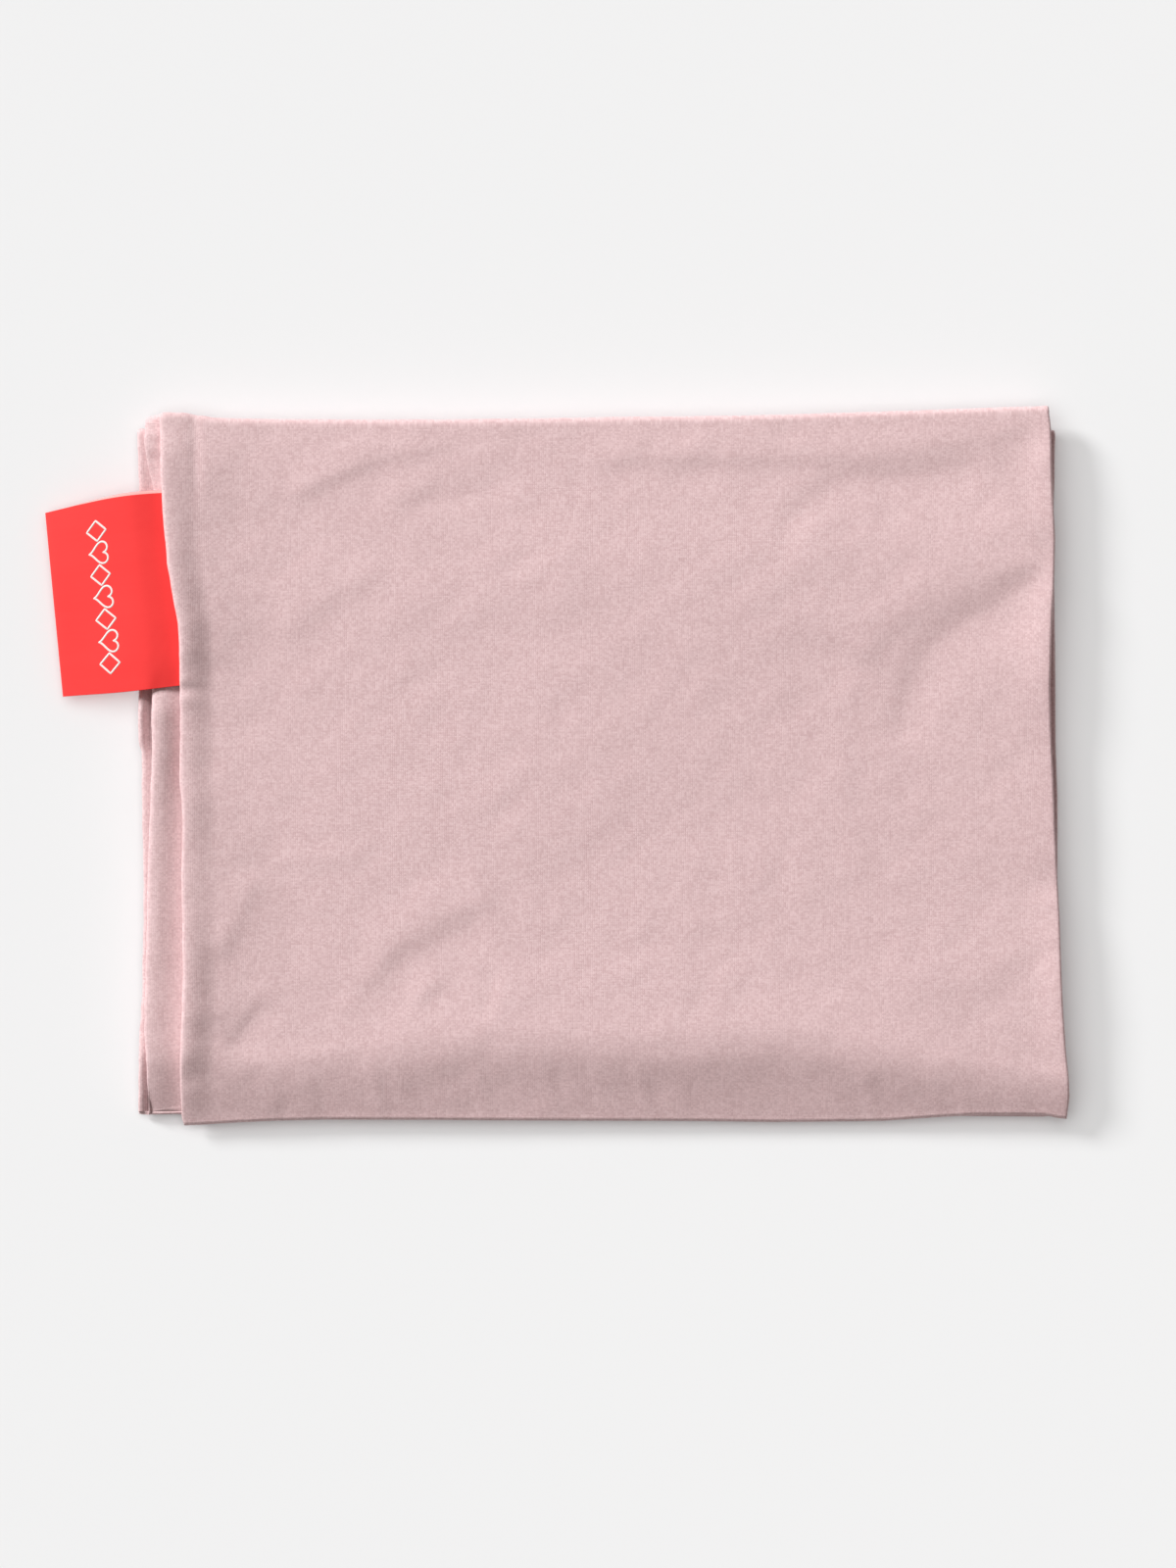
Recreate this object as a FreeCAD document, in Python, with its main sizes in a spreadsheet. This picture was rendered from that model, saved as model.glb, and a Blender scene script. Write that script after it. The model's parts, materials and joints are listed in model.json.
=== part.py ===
import FreeCAD, Part
import math
import os

import Sketcher
from FreeCAD import Placement, Rotation, Vector

# Flat-folded baby wrap sling: a doubled (two-ply) band of fine cotton jersey, closed
# along its left side by a turned-in overlocked seam and along its right side by a
# plain fold, pleated into four leaves that lie on top of each other, with a loop
# label sewn into the side seam of the top leaf.
#
# Frame: millimetres, +Z up, origin on the resting face under the middle of the
# stack, +X towards the folded long side, +Y towards the far creases.
#
# Stack from the table up: bottom leaf, lower leaf, upper leaf, top leaf.
# Creases: bottom/lower at the far side, lower/upper at the near side,
# upper/top at the far side again, so that every crease opens on its own.

doc = FreeCAD.newDocument("wrap_sling")

# Driving dimensions: alias, value, meaning.
SIZES = [
    # cloth
    ("ply_thickness", 0.60, "one ply of relaxed jersey"),
    ("loft", 0.90, "air between the two plies of a leaf"),
    ("leaf_gap", 0.20, "air between two leaves"),
    ("tuck", 0.26, "turned-in cloth, crushed in the seam"),
    ("tuck_width", 7.00, "width of the turned-in seam allowance"),
    ("overlock_width", 1.20, "overlock thread past the raw edges"),
    ("hem_width", 12.00, "turned-in hem at the open end of the band"),
    ("hem_thread_dia", 0.26, "looper thread of the hem"),
    ("end_inset", 0.05, "leaf ends stop this far short of the crease axis"),
    # creases: the axis line of each, in plan
    ("crease_low_y", 88.60, "far crease between the bottom and lower leaf"),
    ("crease_mid_y", -93.50, "near crease between the lower and upper leaf"),
    ("crease_top_y", 93.00, "far crease between the upper and top leaf, at X 0"),
    ("crease_top_tilt", 0.70, "degrees the last crease is out of square"),
    ("crease_low_left", -103.60, "left end"),
    ("crease_low_right", 134.00, "right end"),
    ("crease_mid_left", -111.00, "left end"),
    ("crease_mid_right", 133.20, "right end"),
    ("crease_top_left", -110.30, "left end"),
    ("crease_top_right", 132.40, "right end"),
    # leaf outlines in plan: outer left and right at the near and far end
    ("bottom_near_left", -103.60, "set back under the label"),
    ("bottom_near_right", 134.60, ""),
    ("bottom_far_left", -103.60, ""),
    ("bottom_far_right", 134.00, ""),
    ("lower_near_left", -113.30, ""),
    ("lower_near_right", 135.40, ""),
    ("lower_far_left", -113.40, ""),
    ("lower_far_right", 134.70, ""),
    ("upper_near_left", -110.50, ""),
    ("upper_near_right", 132.70, ""),
    ("upper_far_left", -110.70, ""),
    ("upper_far_right", 132.60, ""),
    ("top_near_left", -100.95, ""),
    ("top_near_right", 137.50, ""),
    ("top_far_left", -106.50, ""),
    ("top_far_right", 132.50, ""),
    ("end_y", -93.30, "both free ends of the band"),
    # label
    ("label_centre_y", 47.90, "middle of the label along the seam"),
    ("label_stand_off", 1.20, "hinge line outside the seam edge"),
    ("label_seam_far", 25.80, "label edge along the seam, far end"),
    ("label_seam_near", -25.90, "label edge along the seam, near end"),
    ("label_tip_far_x", -31.20, "free end, far corner"),
    ("label_tip_far_y", 21.50, ""),
    ("label_tip_near_x", -28.00, "free end, near corner"),
    ("label_tip_near_y", -28.40, ""),
    ("label_face", 0.26, "one face of the folded ribbon"),
    ("label_air", 0.08, "between the ribbon's two faces"),
    ("label_droop", 7.00, "degrees below level at rest"),
    ("label_tongue", 6.00, "length of ribbon caught in the seam"),
    ("motif_height", 0.08, "woven motif above the ribbon"),
    ("motif_size", 5.00, "size of each heart and diamond"),
    ("motif_stroke", 0.50, "width of their outlines"),
    ("motif_step", 5.70, "from one to the next"),
]
sheet = doc.addObject("Spreadsheet::Sheet", "Sizes")
SIZE = {}
for row, (alias, value, meaning) in enumerate(SIZES, 1):
    sheet.set(f"A{row}", alias)
    sheet.set(f"B{row}", repr(value))
    sheet.setAlias(f"B{row}", alias)
    sheet.set(f"C{row}", meaning)
    SIZE[alias] = value
doc.recompute()

PLY = SIZE["ply_thickness"]
LOFT = SIZE["loft"]
TUCK = SIZE["tuck"]
TUCK_WIDTH = SIZE["tuck_width"]
END_Y = SIZE["end_y"]
LEAF = 2 * PLY + LOFT
PITCH = LEAF + SIZE["leaf_gap"]
FOLD_RADIUS = LEAF / 2
TUCK_PLAY = 0.02  # between a ply and the cloth turned in against it
BEAD_RADIUS = (PLY + TUCK + TUCK_PLAY) / 2  # rounded edge of a turned-in ply
SIDE_CLEAR = 0.01  # between a ply and the slightly slanting strips beside it

X_AXIS, Y_AXIS, Z_AXIS = Vector(1, 0, 0), Vector(0, 1, 0), Vector(0, 0, 1)
NODES = []


# A driven number is a pair: its value and the expression that it is bound to.
def bound(*aliases, offset=0):
    """The sum of some sheet values and a fixed offset, bound to the sheet."""
    expression = " + ".join(f"Sizes.{alias}" for alias in aliases)
    return sum(SIZE[alias] for alias in aliases) + offset, f"{expression} + {offset!r}"


def free(value):
    """A number that is not bound to the sheet."""
    return value, None


def constrain(sketch, kind, *geometry, number):
    value, expression = number
    index = sketch.addConstraint(Sketcher.Constraint(kind, *geometry, value))
    if expression:
        sketch.setExpression(f"Constraints[{index}]", expression)


def draw_polygon(sketch, corners):
    """A closed outline through corners, each an (x, y) of driven numbers."""
    points = [Vector(x[0], y[0], 0) for x, y in corners]
    count = len(points)
    for i in range(count):
        sketch.addGeometry(Part.LineSegment(points[i], points[(i + 1) % count]), False)
    for i in range(count):
        sketch.addConstraint(Sketcher.Constraint("Coincident", i, 2, (i + 1) % count, 1))
    for i, (x, y) in enumerate(corners):
        constrain(sketch, "DistanceX", -1, 1, i, 1, number=x)
        constrain(sketch, "DistanceY", -1, 1, i, 1, number=y)


def draw_half_ring(sketch, side, inner, outer):
    """A half ring about the origin, bulging to side: +1 or -1 along the sketch's x."""
    start = -math.pi / 2 if side > 0 else math.pi / 2
    for radius in (outer, inner):
        circle = Part.Circle(Vector(), Z_AXIS, radius[0])
        sketch.addGeometry(Part.ArcOfCircle(circle, start, start + math.pi), False)
    for sign in (1, -1):
        line = Part.LineSegment(Vector(0, sign * outer[0], 0), Vector(0, sign * inner[0], 0))
        sketch.addGeometry(line, False)
    # Geometry: 0 outer arc, 1 inner arc, 2 line at the top, 3 line at the bottom.
    top, low = (2, 1) if side > 0 else (1, 2)
    for constraint in (
        ("Coincident", 0, top, 2, 1),
        ("Coincident", 1, top, 2, 2),
        ("Coincident", 0, low, 3, 1),
        ("Coincident", 1, low, 3, 2),
        ("Coincident", 0, 3, 1, 3),
        ("Vertical", 2),
        ("Vertical", 3),
        ("PointOnObject", 0, 3, 2),
        ("PointOnObject", 0, 3, 3),
        ("Coincident", 0, 3, -1, 1),
    ):
        sketch.addConstraint(Sketcher.Constraint(*constraint))
    constrain(sketch, "Radius", 0, number=outer)
    constrain(sketch, "Radius", 1, number=inner)


def make_piece(node, plane, draw, length, placement):
    """A body padded from what draw puts on an origin plane, along that plane's + axis."""
    body = doc.addObject("PartDesign::Body", node)
    body.Label = node
    NODES.append(body)
    support = next(o for o in body.Origin.OriginFeatures if o.Role == plane)
    kind = "outline" if plane == "XY_Plane" else "profile"
    sketch = body.newObject("Sketcher::SketchObject", f"{body.Name}_{kind}")
    sketch.AttachmentSupport = [(support, "")]
    sketch.MapMode = "FlatFace"
    draw(sketch)
    pad = body.newObject("PartDesign::Pad", f"{body.Name}_pad")
    pad.Profile = sketch
    pad.Length = length[0]
    if length[1]:
        pad.setExpression("Length", length[1])
    # A sketch on the XZ plane faces -Y.
    pad.Reversed = plane == "XZ_Plane"
    doc.recompute()
    body.Tip = pad
    body.Placement = placement


def turn_to(run):
    """The turn about Z that takes +Y to the direction of run."""
    return Rotation(Z_AXIS, math.degrees(math.atan2(-run.x, run.y)))


# Leaves: level in the stack, crease at the far end, Y of the near end.
LEAVES = {
    "bottom": (0, "low", END_Y),
    "lower": (1, "low", SIZE["crease_mid_y"] + SIZE["end_inset"]),
    "upper": (2, "top", SIZE["crease_mid_y"] + SIZE["end_inset"]),
    "top": (3, "top", END_Y + FOLD_RADIUS),
}
# Creases: level of the leaf below, side it bulges to along Y, tilt in degrees.
CREASES = {
    "low": (0, 1, 0.0),
    "mid": (1, -1, 0.0),
    "top": (2, 1, SIZE["crease_top_tilt"]),
}
# Inner and outer radius of the cloth where the two plies of a leaf meet in a fold.
FOLD_RING = (
    (LOFT / 2, "Sizes.loft / 2"),
    (FOLD_RADIUS, "Sizes.ply_thickness + Sizes.loft / 2"),
)


def far_y(crease, x):
    slope = math.tan(math.radians(CREASES[crease][2]))
    return SIZE[f"crease_{crease}_y"] + x * slope - SIZE["end_inset"]


def side_edge(leaf, side):
    """Near end, turn and length of a leaf's outer side line, at the leaf's underside."""
    level, crease, near_y = LEAVES[leaf]
    far_x = SIZE[f"{leaf}_far_{side}"]
    near = Vector(SIZE[f"{leaf}_near_{side}"], near_y, level * PITCH)
    run = Vector(far_x, far_y(crease, far_x), level * PITCH) - near
    return near, turn_to(run), run.Length


def make_plies(leaf):
    """The two flat sheets of a leaf."""
    level, crease, near_y = LEAVES[leaf]
    side_offset = {"left": BEAD_RADIUS + SIDE_CLEAR, "right": -FOLD_RADIUS - SIDE_CLEAR}
    corners = []
    for end, side in (("near", "left"), ("near", "right"), ("far", "right"), ("far", "left")):
        alias = f"{leaf}_{end}_{side}"
        y = near_y if end == "near" else far_y(crease, SIZE[alias])
        corners.append((bound(alias, offset=side_offset[side]), free(y)))
    for ply, rise in (("lower", 0.0), ("upper", PLY + LOFT)):
        make_piece(
            f"{leaf}_leaf_{ply}_ply",
            "XY_Plane",
            lambda sketch: draw_polygon(sketch, corners),
            bound("ply_thickness"),
            Placement(Vector(0, 0, level * PITCH + rise), Rotation()),
        )


STRIP_INSET = 0.4  # side folds and tucks stop this far short of each leaf end


def make_side_fold(leaf):
    """Right side: the plain fold that joins the two plies."""
    near, turn, length = side_edge(leaf, "right")
    offset = turn.multVec(Vector(-FOLD_RADIUS, STRIP_INSET, 0))
    make_piece(
        f"{leaf}_leaf_side_fold",
        "XZ_Plane",
        lambda sketch: draw_half_ring(sketch, 1, *FOLD_RING),
        free(length - 2 * STRIP_INSET),
        Placement(near + Vector(0, 0, FOLD_RADIUS) + offset, turn),
    )


def draw_tuck(sketch, ply):
    """A half-disc bead at the seam edge, with a strip running inwards from it."""
    radius = BEAD_RADIUS
    circle = Part.Circle(Vector(radius, 0, 0), Z_AXIS, radius)
    sketch.addGeometry(Part.ArcOfCircle(circle, math.pi / 2, 3 * math.pi / 2), False)
    # The strip lies on the side of the bead that faces the inside of the leaf.
    if ply == "lower":
        low, high = radius - TUCK, radius
        path = [(radius, -radius), (radius, low), (TUCK_WIDTH, low),
                (TUCK_WIDTH, high), (radius, radius)]
    else:
        low, high = -radius, -radius + TUCK
        path = [(radius, -radius), (TUCK_WIDTH, low), (TUCK_WIDTH, high),
                (radius, high), (radius, radius)]
    for begin, end in zip(path[:-1], path[1:]):
        sketch.addGeometry(Part.LineSegment(Vector(*begin, 0), Vector(*end, 0)), False)
    # Geometry: 0 bead arc, 1 to 4 the lines of the path.
    for i in range(4):
        sketch.addConstraint(Sketcher.Constraint("Coincident", i, 2, i + 1, 1))
    sketch.addConstraint(Sketcher.Constraint("Coincident", 4, 2, 0, 1))
    for i, (x, y) in enumerate(path):
        point = (i + 1, 1) if i < 4 else (4, 2)
        number = bound("tuck_width") if x == TUCK_WIDTH else free(x)
        constrain(sketch, "DistanceX", -1, 1, *point, number=number)
        constrain(sketch, "DistanceY", -1, 1, *point, number=free(y))
    constrain(sketch, "DistanceX", -1, 1, 0, 3, number=free(radius))


def make_tucks(leaf):
    """Left side: each ply turns in round the seam edge and runs back inside the leaf."""
    near, turn, length = side_edge(leaf, "left")
    offset = turn.multVec(Vector(0, STRIP_INSET, 0))
    for ply, rise in (("lower", BEAD_RADIUS), ("upper", LEAF - BEAD_RADIUS)):
        make_piece(
            f"{leaf}_leaf_{ply}_tuck",
            "XZ_Plane",
            lambda sketch: draw_tuck(sketch, ply),
            free(length - 2 * STRIP_INSET),
            Placement(near + Vector(0, 0, rise) + offset, turn),
        )


OVERLOCK_INSET = 0.6  # the thread stops this far short of each leaf end
OVERLOCK_CLEAR = 0.03  # to the raw edges beside it and the plies above and below
OVERLOCK_INNER_RADIUS = 0.12


def make_overlock(leaf):
    """The thread that binds the raw edges of both turned-in strips."""
    near, turn, length = side_edge(leaf, "left")
    offset = turn.multVec(Vector(TUCK_WIDTH + OVERLOCK_CLEAR, OVERLOCK_INSET, 0))
    inner, outer = free(OVERLOCK_INNER_RADIUS), free(LOFT / 2 - OVERLOCK_CLEAR)
    make_piece(
        f"{leaf}_leaf_overlock_thread",
        "XZ_Plane",
        lambda sketch: draw_half_ring(sketch, 1, inner, outer),
        free(length - 2 * OVERLOCK_INSET),
        Placement(near + Vector(0, 0, FOLD_RADIUS) + offset, turn),
    )


for leaf_name in LEAVES:
    make_plies(leaf_name)
    make_side_fold(leaf_name)
    make_tucks(leaf_name)
    make_overlock(leaf_name)

# Creases: the inner ply bends tightly, the outer one round the whole thickness of
# the two leaves it joins. Columns: ply, inner radius, outer radius.
INNER_RADIUS = SIZE["leaf_gap"] / 2
HALF_GAP = "Sizes.leaf_gap / 2"
CREASE_PLIES = [
    ("inner", (INNER_RADIUS, HALF_GAP),
     (INNER_RADIUS + PLY, HALF_GAP + " + Sizes.ply_thickness")),
    ("outer", (INNER_RADIUS + PLY + LOFT, HALF_GAP + " + Sizes.ply_thickness + Sizes.loft"),
     (INNER_RADIUS + LEAF, HALF_GAP + " + 2 * Sizes.ply_thickness + Sizes.loft")),
]


def make_crease(crease):
    level, side, tilt = CREASES[crease]
    left, right = SIZE[f"crease_{crease}_left"], SIZE[f"crease_{crease}_right"]
    axis_z = (level + 1) * PITCH - SIZE["leaf_gap"] / 2
    axis = Vector(0, SIZE[f"crease_{crease}_y"], axis_z)
    turn = Rotation(Z_AXIS, tilt)
    for ply, inner, outer in CREASE_PLIES:
        make_piece(
            f"crease_{crease}_{ply}_ply",
            "YZ_Plane",
            lambda sketch: draw_half_ring(sketch, side, inner, outer),
            (right - left, f"Sizes.crease_{crease}_right - Sizes.crease_{crease}_left"),
            Placement(axis + turn.multVec(X_AXIS * left), turn),
        )


for crease_name in CREASES:
    make_crease(crease_name)

END_FOLD_INSET = 1.2  # from each side of the leaf


def make_end_fold():
    """Closed end of the band, on the top leaf: the plies meet in a rounded end."""
    left, right = SIZE["top_near_left"], SIZE["top_near_right"]
    axis_z = LEAVES["top"][0] * PITCH + FOLD_RADIUS
    make_piece(
        "top_leaf_end_fold",
        "YZ_Plane",
        lambda sketch: draw_half_ring(sketch, -1, *FOLD_RING),
        free(right - left - 2 * END_FOLD_INSET),
        Placement(Vector(left + END_FOLD_INSET, END_Y + FOLD_RADIUS, axis_z), Rotation()),
    )


make_end_fold()

# Open end of the band, on the bottom leaf.
HEM_LEFT_CLEAR = 0.8  # from the overlock thread's width to the hem
HEM_RIGHT_INSET = 1.8
ROW_LEFT_INSET = 10.0  # thread rows, from the sides of the leaf
ROW_RIGHT_INSET = 4.0
ROW_OFFSETS = (2.0, SIZE["hem_width"] - 1.5)  # in from the end of the band


def make_hems():
    """The turned-in hem of each ply."""
    hem_inset = TUCK_WIDTH + SIZE["overlock_width"] + HEM_LEFT_CLEAR
    left = free(SIZE["bottom_near_left"] + hem_inset)
    right = free(SIZE["bottom_near_right"] - HEM_RIGHT_INSET)
    near, far = bound("end_y"), bound("end_y", "hem_width")
    corners = [(left, near), (right, near), (right, far), (left, far)]
    for ply, z in (
        ("lower", PLY + TUCK_PLAY),
        ("upper", PLY + LOFT - TUCK_PLAY - TUCK),
    ):
        make_piece(
            f"bottom_leaf_{ply}_hem",
            "XY_Plane",
            lambda sketch: draw_polygon(sketch, corners),
            bound("tuck"),
            Placement(Vector(0, 0, z), Rotation()),
        )


def make_hem_threads():
    """Two rows of looper thread, lying between the two hems."""
    left, right = SIZE["bottom_near_left"], SIZE["bottom_near_right"]
    rows = []
    for i, offset in enumerate(ROW_OFFSETS):
        row = doc.addObject("Part::Cylinder", f"hem_row_{i}")
        row.Label = f"hem_row_{i}"
        row.setExpression("Radius", "Sizes.hem_thread_dia / 2")
        row.Height = right - left - ROW_LEFT_INSET - ROW_RIGHT_INSET
        row.Placement = Placement(
            Vector(left + ROW_LEFT_INSET, END_Y + offset, PLY + LOFT / 2),
            Rotation(Y_AXIS, 90),
        )
        rows.append(row)
    doc.recompute()
    group = doc.addObject("Part::Compound", "bottom_leaf_hem_threads")
    group.Label = "bottom_leaf_hem_threads"
    group.Links = rows
    NODES.append(group)


make_hems()
make_hem_threads()

# The label: a ribbon folded in half, caught in the side seam of the top leaf.
# Its local frame has the hinge line as its Y axis and the free end towards -X.
HALF_LABEL = SIZE["label_face"] + SIZE["label_air"] / 2
FACE_START = -0.10  # local x of the faces' edge beside the hinge line
TONGUE_START = 0.40  # local x of the tongue's edge beside the hinge line
TONGUE_THICKNESS = 0.30
TIP_OVERLAP = 0.01  # the end fold is moved out from the faces by this
TIP_INSET = 0.05  # the end fold stops this far short of each corner

seam_start, seam_turn, _ = side_edge("top", "left")
label_along = (SIZE["label_centre_y"] - seam_start.y) / seam_turn.multVec(Y_AXIS).y
hinge = seam_start + seam_turn.multVec(
    Vector(-SIZE["label_stand_off"], label_along, FOLD_RADIUS)
)
flap = Placement(hinge, seam_turn.multiply(Rotation(Y_AXIS, -SIZE["label_droop"])))
tip_near = Vector(SIZE["label_tip_near_x"] + HALF_LABEL, SIZE["label_tip_near_y"], 0)
tip_far = Vector(SIZE["label_tip_far_x"] + HALF_LABEL, SIZE["label_tip_far_y"], 0)
tip_run = tip_far - tip_near
tip_turn = turn_to(tip_run)


def make_label_faces():
    corners = [
        (free(FACE_START), bound("label_seam_near")),
        (free(FACE_START), bound("label_seam_far")),
        (bound("label_tip_far_x", offset=HALF_LABEL), bound("label_tip_far_y")),
        (bound("label_tip_near_x", offset=HALF_LABEL), bound("label_tip_near_y")),
    ]
    for face, z in (("back", -HALF_LABEL), ("front", SIZE["label_air"] / 2)):
        make_piece(
            f"label_{face}_face",
            "XY_Plane",
            lambda sketch: draw_polygon(sketch, corners),
            bound("label_face"),
            flap.multiply(Placement(Vector(0, 0, z), Rotation())),
        )


def make_label_end_fold():
    """The ribbon's fold at the free end, joining its two faces."""
    inner, outer = free(SIZE["label_air"] / 2), free(HALF_LABEL)
    offset = tip_turn.multVec(Vector(-TIP_OVERLAP, TIP_INSET, 0))
    make_piece(
        "label_end_fold",
        "XZ_Plane",
        lambda sketch: draw_half_ring(sketch, -1, inner, outer),
        free(tip_run.Length - 2 * TIP_INSET),
        flap.multiply(Placement(tip_near + offset, tip_turn)),
    )


def make_label_tongue():
    """The end of the ribbon inside the seam, between the two turned-in strips."""
    outside, inside = free(TONGUE_START), bound("label_stand_off", "label_tongue")
    near, far = bound("label_seam_near"), bound("label_seam_far")
    corners = [(outside, near), (inside, near), (inside, far), (outside, far)]
    make_piece(
        "label_tongue",
        "XY_Plane",
        lambda sketch: draw_polygon(sketch, corners),
        free(TONGUE_THICKNESS),
        Placement(hinge - Vector(0, 0, TONGUE_THICKNESS / 2), seam_turn),
    )


make_label_faces()
make_label_end_fold()
make_label_tongue()

# The woven motif: a row of small outlined hearts and diamonds along the label,
# raised on the front face.
MOTIF_CENTRE = Vector(-16.3, -1.9, HALF_LABEL)
MOTIFS_EACH_SIDE = 3  # of the middle one
HEART_SCALE = 1.06  # heart size over diamond size
HEART_STROKES = 2.3  # size of the outline less that of its hole, in strokes
DIAMOND_STROKES = 2.8
HEART_POINTS = 36


def closed_face(points):
    return Part.Face(Part.makePolygon(points + points[:1]))


def heart(size):
    """The classic heart curve, 32 units wide, its point towards the label's free end."""
    points = []
    for i in range(HEART_POINTS):
        angle = 2 * math.pi * i / HEART_POINTS
        across = 16 * math.sin(angle) ** 3
        up = (
            13 * math.cos(angle)
            - 5 * math.cos(2 * angle)
            - 2 * math.cos(3 * angle)
            - math.cos(4 * angle)
        )
        # 2.5 brings the middle of the curve's height near the origin
        points.append(Vector((up + 2.5) * size / 32, across * size / 32, 0))
    return closed_face(points)


def diamond(size):
    reach = size / 2
    corners = ((reach, 0), (0, reach), (-reach, 0), (0, -reach))
    return closed_face([Vector(x, y, 0) for x, y in corners])


def make_motif():
    size, stroke = SIZE["motif_size"], SIZE["motif_stroke"]
    heart_size = size * HEART_SCALE
    solids = []
    for i in range(-MOTIFS_EACH_SIDE, MOTIFS_EACH_SIDE + 1):
        if i % 2:
            ring = diamond(size).cut(diamond(size - DIAMOND_STROKES * stroke))
        else:
            ring = heart(heart_size).cut(heart(heart_size - HEART_STROKES * stroke))
        solid = ring.Faces[0].extrude(Vector(0, 0, SIZE["motif_height"]))
        solid.translate(Vector(0, i * SIZE["motif_step"], 0))
        solids.append(solid)
    motif = doc.addObject("Part::Feature", "label_motif")
    motif.Label = "label_motif"
    motif.Shape = Part.makeCompound(solids)
    motif.Placement = flap.multiply(Placement(MOTIF_CENTRE, tip_turn))
    NODES.append(motif)


make_motif()
doc.recompute()

# Every object has to be sound before anything is written.
for obj in doc.Objects:
    if "Invalid" in obj.State or "Error" in obj.State:
        raise RuntimeError(f"{obj.Name} is {obj.State}")
for node in NODES:
    shape = node.Shape
    if shape.isNull() or not shape.isValid() or not shape.Solids or shape.Volume <= 0:
        raise RuntimeError(f"{node.Label} has no valid solid")

os.makedirs("parts", exist_ok=True)
for node in NODES:
    node.Shape.exportStep(os.path.join("parts", node.Label + ".step"))
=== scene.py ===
# A dusty pink jersey cloth folded into a stack of four leaves, with a red ribbon label in its
# left seam. The stack lies flat on the floor, z = 0. From low to high the leaves are bottom,
# lower, upper and top. They join at the far, near and far sides in turn: x runs left to right,
# y from near to far and z up. Shapes are in millimetres; MM turns them into metres.
import json
import math

import bmesh
import bpy
import numpy as np
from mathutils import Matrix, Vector
from mathutils.bvhtree import BVHTree


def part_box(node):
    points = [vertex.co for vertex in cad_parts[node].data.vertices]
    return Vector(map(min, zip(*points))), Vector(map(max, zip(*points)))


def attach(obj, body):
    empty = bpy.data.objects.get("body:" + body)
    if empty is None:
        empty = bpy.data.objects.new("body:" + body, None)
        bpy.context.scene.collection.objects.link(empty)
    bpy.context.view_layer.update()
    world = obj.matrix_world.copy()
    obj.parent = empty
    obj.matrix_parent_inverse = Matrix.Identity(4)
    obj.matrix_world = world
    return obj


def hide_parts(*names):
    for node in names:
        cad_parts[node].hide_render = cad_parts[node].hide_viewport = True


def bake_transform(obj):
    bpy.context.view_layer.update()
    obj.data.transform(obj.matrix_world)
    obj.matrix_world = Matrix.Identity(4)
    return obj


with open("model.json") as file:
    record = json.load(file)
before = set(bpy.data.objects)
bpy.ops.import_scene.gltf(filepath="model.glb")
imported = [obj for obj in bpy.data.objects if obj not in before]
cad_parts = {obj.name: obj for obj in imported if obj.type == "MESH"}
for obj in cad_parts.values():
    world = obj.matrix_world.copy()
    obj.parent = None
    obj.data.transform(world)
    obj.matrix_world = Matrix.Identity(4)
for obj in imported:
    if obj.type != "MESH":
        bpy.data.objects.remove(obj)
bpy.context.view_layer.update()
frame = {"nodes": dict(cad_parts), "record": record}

MM = 0.001
UV_MM = 100.0                  # millimetres of cloth per UV unit
UNDER_SHIFT = 300.0            # the under sheet's shift in u, in millimetres
rng = np.random.default_rng(11)


# ------------------------------------------------------------------ the frame
def cad(node):
    """The low and high corners of a CAD piece, in millimetres."""
    low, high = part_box(node)
    return np.array(low) / MM, np.array(high) / MM


JOINTS = {j["name"]: j for j in frame["record"]["behaviour"]["joints"]}
PIVOT = {name: np.array(j["pos_m"]) / MM for name, j in JOINTS.items()}
NODES = sorted(frame["nodes"])
LEAVES = ("bottom", "lower", "upper", "top")
UNDERSIDE = {leaf: cad(leaf + "_leaf_lower_ply")[0][2] for leaf in LEAVES}
CEILING = {leaf: cad(leaf + "_leaf_upper_ply")[1][2] for leaf in LEAVES}
CREASE_REACH = cad("crease_mid_outer_ply")[1][1] - cad("crease_mid_outer_ply")[0][1]
HEM_Y = cad("bottom_leaf_lower_hem")[0][1]
BOTTOM_LEFT_X = cad("bottom_leaf_lower_tuck")[0][0]
BOTTOM_RIGHT_X = cad("bottom_leaf_side_fold")[1][0]

# ------------------------------------------------------------------- outlines
# Points (x, y) of the leaves' edges in plan, left to right or near to far.
TOP_FAR = [
    (-107.3, 94.6), (-105.4, 95.0), (-100.2, 95.0), (-98.3, 94.5), (-96.7, 93.8), (-84.3, 93.6),
    (-63.1, 93.4), (-40.6, 93.3), (-12.8, 93.6), (14.7, 94.0), (32.1, 94.2), (50.7, 94.4),
    (82.4, 95.4), (114.2, 96.4), (125.6, 96.8), (129.3, 96.9), (132.2, 97.1),
]
TOP_NEAR = [
    (-100.8, -97.2), (-96.2, -97.0), (-86.9, -96.4), (-76.3, -95.9), (-63.1, -95.6),
    (-34.0, -95.7), (-2.2, -95.9), (34.8, -96.0), (58.3, -96.3), (71.8, -96.2), (87.7, -96.0),
    (103.6, -94.9), (113.6, -94.3), (125.3, -94.3), (131.9, -94.4), (135.0, -95.1),
    (137.7, -95.4),
]
TOP_LEFT = [
    (-100.8, -97.2), (-101.4, -95.1), (-101.7, -82.7), (-101.1, -68.4), (-100.8, -57.3),
    (-101.2, -29.0), (-100.9, -16.3), (-101.2, -9.9), (-101.7, -3.8), (-101.6, 3.8),
    (-101.5, 14.9), (-101.7, 21.0), (-101.7, 22.4), (-101.7, 31.6), (-102.0, 38.2),
    (-103.3, 44.6), (-104.8, 53.3), (-106.1, 65.2), (-106.5, 72.9), (-106.9, 82.4),
    (-107.0, 90.4), (-107.3, 94.6),
]
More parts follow.
